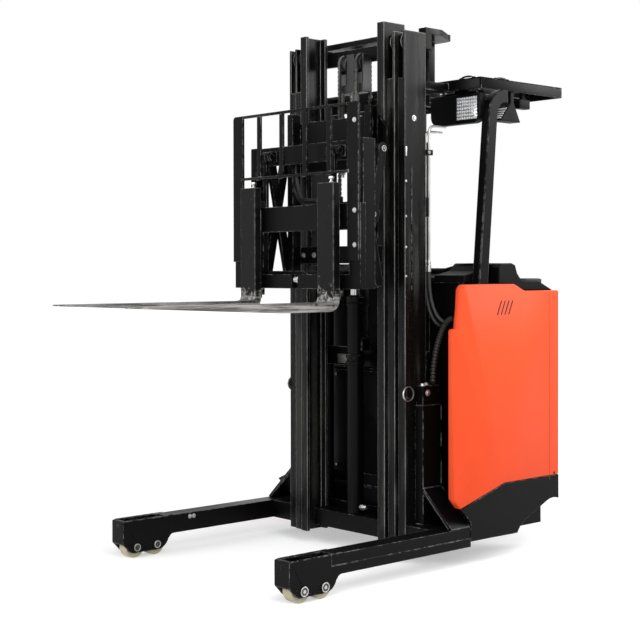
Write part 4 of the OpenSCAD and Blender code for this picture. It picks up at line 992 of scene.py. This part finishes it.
def work_lamp():
    """Lens frame, a grid of small lenses over a bright reflector, cooling fins and the lamp's wires."""
    x, y0, y1, z0, z1 = -0.599, 0.404, 0.539, 2.003, 2.115
    plate = slab((x - 0.0006, y0, z0), (x + 0.0006, y1, z1), 0.004, 0.0002, 0)
    skin("work_lamp_reflector", [plate], "chassis", lamp_silver)
    ys, zs = np.meshgrid(np.linspace(y0 + 0.011, y1 - 0.011, 9), np.linspace(z0 + 0.01, z1 - 0.01, 7))
    at = np.stack([0 * ys.ravel() + x + 0.0004, ys.ravel(), zs.ravel()], 1)
    domes = turned(mm(5.6, 0, 5.2, 1.6, 3.6, 2.8, 1.2, 3.2), at, X, 12)
    skin("work_lamp_lenses", [domes], "chassis", clear_lens)
    bars = ((y0 - 0.001, z0 - 0.001, y0 + 0.004, z1 + 0.001), (y1 - 0.004, z0 - 0.001, y1 + 0.001, z1 + 0.001),
            (y0, z0 - 0.001, y1, z0 + 0.004), (y0, z1 - 0.004, y1, z1 + 0.001))
    bars = [slab((x - 0.0005, a, b), (x + 0.005, c, d), 0.0015, 0.0008, 0) for a, b, c, d in bars]
    plastic("work_lamp_frame", bars)
    low = np.array([(-0.653, y, 2.012) for y in np.arange(0.262, 0.528, 0.018)])
    plastic("work_lamp_fins", [slab(low, low + (0.01, 0.005, 0.1), 0.002, 0.0008, 2)])
    x, z = -0.6345, 2.1345
    wide = mm(13, -1, 14, 2, 14, 10, 12, 13)
    small = mm(12, -1, 13, 2, 13, 9, 11, 12)
    rod = swept([(x, y, z) for y in (0.258, 0.29, 0.298)], 0.0074, Z, 16)
    nuts = [turned(outline, (x, y, z), Y, 6) for outline, y in ((wide, 0.265), (small, 0.3), (small, 0.505))]
    zinc("work_lamp_rod", [rod] + nuts)
    wires = [curve([(-0.655, 0.34 + d, 2.105), (-0.65, 0.345 + d, 2.142), (-0.628, 0.376 + d, 2.153),
                    (-0.596, 0.43 + d, 2.15), (-0.575, 0.49 + d * 2, 2.152)], 30) for d in (0.0, 0.014)]
    rubber("work_lamp_wires", [swept(wire, 0.003, (0.2, 0.1, 1), 8) for wire in wires])


REAR_LAMP = ((-0.714, 2.003), (-0.786, 2.09))   # lower and upper end of the rear lamp's sloped front


def rear_lamp_details():
    """Lens and slats on the rear lamp's sloped front, s along it and t out of it, and the tail lamp's
    ribs."""
    foot, head = np.array(REAR_LAMP)
    way = unit(head - foot)
    out = np.array((way[1], -way[0]))

    def strip(s0, s1, t0, t1, y0, y1):
        corners = [foot + way * s + out * t for s, t in ((s0, t0), (s1, t0), (s1, t1), (s0, t1))]
        return plank(corners, 1, y0, y1, 0.0004)

    lens = strip(0.01, 0.084, -0.0006, 0.0018, 0.512, 0.568)
    skin("rear_lamp_lens", [lens], "chassis", clear_lens)
    slats = (0.008, 0.022, 0.036, 0.05, 0.064, 0.082)
    plastic("rear_lamp_slats", [strip(s, s + 0.004, 0.0014, 0.0034, 0.51, 0.57) for s in slats])
    low = np.array([(-0.947, y, 2.078) for y in np.arange(0.522, 0.556, 0.007)])
    plastic("tail_box_ribs", [slab(low, low + (0.004, 0.003, 0.03), 0.001, 0.0006, 2)])


# ---------------------------------------------------------------- wheels
def wheel_faces(name):
    """The middle of a wheel's two outer faces, with the way each looks."""
    low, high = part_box(name)
    x, _, z = (low + high) / 2
    return [((x, y, z), way) for y, way in ((high[1], Y), (low[1], RIGHT))]


def wheel_hubs():
    """Bearing shields of the load wheels, the drive wheel's bolted hub and the casters' caps."""
    shield = mm(30, -1, 30, 0.8, 28, 1.4, 15, 1.4, 13.5, 0.6)
    for side in ("left", "right"):
        for name in (f"load_wheel_{side}_front", f"load_wheel_{side}_rear"):
            oiled(name + "_shields", [turned(shield, at, way, 32) for at, way in wheel_faces(name)], name)
    (x, y, z), _ = wheel_faces("drive_wheel")[0]
    a, nut_circle = 2 * PI * np.arange(5) / 5, 0.038
    at = np.stack([x + nut_circle * np.cos(a), 0 * a + y, z + nut_circle * np.sin(a)], 1)
    zinc("drive_wheel_nuts", hex_bolts(at, Y, 0.015, 0.009), "drive_wheel")
    faces = wheel_faces("caster_wheels")
    caps = [button(0.024, 0.002, 0.02, 0.004, 0.006, at, way, 28) for at, way in faces]
    oiled("caster_caps", caps, "caster_wheels")


# ---------------------------------------------------------------- finishes of the frame's own pieces
FINISH_OF_SLOT = {
    "black_paint": black_paint, "orange_paint": orange_paint, "black_plastic": black_plastic,
    "grey_paint": grey_paint, "battery_case": battery_case, "floor_mat": floor_mat,
    "polyurethane": polyurethane, "drive_tyre": drive_tyre, "bare_steel": oiled_steel,
    "fork_steel": fork_steel,
}
FINISH_OF_NODE = {"outer_rails": rail_steel, "mid_rails": rail_steel, "inner_rails": rail_steel,
                  "crosshead": chrome_and_paint, "tilt_rod": chrome}


EDGE_ROUND, HARD_ANGLE = 0.0018, math.radians(38)


def soften_edges(node):
    """Welds a CAD solid's faces and rounds its hard edges by EDGE_ROUND metres."""
    node.modifiers.new("weld", "WELD").merge_threshold = 1e-5
    bevel = node.modifiers.new("round_edges", "BEVEL")
    bevel.width = EDGE_ROUND
    bevel.segments = 2
    bevel.limit_method = "ANGLE"
    bevel.angle_limit = HARD_ANGLE
    bevel.use_clamp_overlap = False
    bevel.miter_outer = "MITER_ARC"
    node.modifiers.new("even_shading", "WEIGHTED_NORMAL").keep_sharp = False
    node.data.polygons.foreach_set("use_smooth", np.ones(len(node.data.polygons), bool))


for name, node in nodes.items():
    for slot in node.material_slots:
        own = FINISH_OF_SLOT.get(slot.material.name.split(".")[0], black_paint)
        slot.material = FINISH_OF_NODE.get(name, own)
    if not name.endswith("chains"):
        soften_edges(node)

for make in (axle_ends, leg_details, mast_fasteners, guide_roller_faces, pipe_clips, pipe_fittings,
             bright_pipes, hose_runs, conduit_ribs, guard_cables, column_details, cylinder_clamp,
             cylinder_glands, chain_ends, carriage_plate, carriage_fasteners, spiral_guards, backrest,
             backrest_bolts, fork_blades, fork_details, scissor_retainers, side_panels, hood_shell,
             panel_details, arm_pads, knee_pad, mat_ribs, dashboard, steering, front_apron, overhead_guard,
             guard_posts, guard_details, lamp_bodies, work_lamp, rear_lamp_details, wheel_hubs):
    make()


# ---------------------------------------------------------------- camera, light and floor
def camera():
    """The lens, place and turn that the truck is seen from, at rest."""
    data = bpy.data.cameras.new("camera")
    data.sensor_width = 36.0
    data.lens = 75.8
    data.shift_x = 0.0103
    data.shift_y = -0.0538
    data.clip_end = 200.0
    obj = bpy.data.objects.new("camera", data)
    yaw, pitch, roll = (math.radians(a) for a in (228.08, -0.65, -0.11))
    ahead = np.array([math.cos(yaw) * math.cos(pitch), math.sin(yaw) * math.cos(pitch), math.sin(pitch)])
    side = unit(np.cross(ahead, Z))
    right = side * math.cos(roll) + np.cross(side, ahead) * math.sin(roll)
    turn = np.eye(4)
    turn[:3] = np.stack([right, np.cross(right, ahead), -ahead, (4.0507, 4.5957, 1.3186)], 1)
    obj.matrix_world = Matrix(turn.tolist())
    scene.collection.objects.link(obj)
    scene.camera = obj


def lamp(name, at, aim, size, power):
    data = bpy.data.lights.new(name, "AREA")
    data.shape = "RECTANGLE"
    data.size, data.size_y = size, size
    data.energy = power
    obj = bpy.data.objects.new(name, data)
    obj.location = at
    obj.rotation_euler = (Vector(aim) - Vector(at)).to_track_quat("-Z", "Y").to_euler()
    scene.collection.objects.link(obj)


def seen_directly(tree):
    """1 for rays from the camera, and for rays that come to it by a mirror or through glass."""
    rays = tree.add("ShaderNodeLightPath").outputs
    seen = tree.sum("MAXIMUM", rays["Is Camera Ray"], rays["Is Transmission Ray"])
    return tree.sum("MAXIMUM", seen, rays["Is Glossy Ray"])


def studio():
    """White surroundings, a white floor that keeps the truck's shadow and has a painted glow, weaker near the
    truck and stronger far off, and large soft lamps.
    """
    sky = Nodes(bpy.data.worlds.new("studio"))
    scene.world = sky.owner
    seen, lit = (sky.add("ShaderNodeBackground", {"Color": colour, "Strength": strength}).outputs[0]
                 for colour, strength in (((1, 1, 1, 1), 1.0), ((0.95, 0.97, 1.0, 1), 0.36)))
    either = sky.add("ShaderNodeMixShader", {0: seen_directly(sky), 1: lit, 2: seen})
    sky.add("ShaderNodeOutputWorld", {0: either.outputs[0]})

    mesh = bpy.data.meshes.new("floor")
    reach = 60.0
    mesh.from_pydata([(-reach, -reach, 0), (reach, -reach, 0), (reach, reach, 0), (-reach, reach, 0)], [],
                     [(0, 1, 2, 3)])
    floor = bpy.data.objects.new("floor", mesh)
    scene.collection.objects.link(floor)
    f = Finish("floor")
    diffuse = f.add("ShaderNodeBsdfDiffuse", {"Color": (0.8, 0.8, 0.8, 1)}).outputs[0]
    # Painted light: the floor's own glow, seen from the camera and in reflections, rises from 0.44 near the
    # truck to 0.86 six metres off, so the floor is painted darker around the truck.
    far = f.add("ShaderNodeVectorMath", {0: f.place}, operation="LENGTH").outputs["Value"]
    glow_by_distance = {"Value": far, "From Min": 1.6, "From Max": 6.0, "To Min": 0.44, "To Max": 0.86}
    amount = f.times(seen_directly(f), f.add("ShaderNodeMapRange", glow_by_distance).outputs[0])
    glow = f.add("ShaderNodeEmission", {"Strength": amount}).outputs[0]
    f.add("ShaderNodeOutputMaterial", {0: f.add("ShaderNodeAddShader", {0: diffuse, 1: glow}).outputs[0]})
    mesh.materials.append(f.owner)

    lamp("key", (2.6, 5.2, 5.6), (-0.3, 0.0, 1.0), 6.0, 400.0)
    lamp("fill", (6.0, -1.5, 3.2), (0.0, 0.0, 1.1), 3.0, 160.0)
    lamp("back", (-4.5, 2.8, 3.8), (-0.6, 0.0, 1.2), 3.0, 180.0)


camera()
studio()
scene.view_settings.view_transform = "Standard"
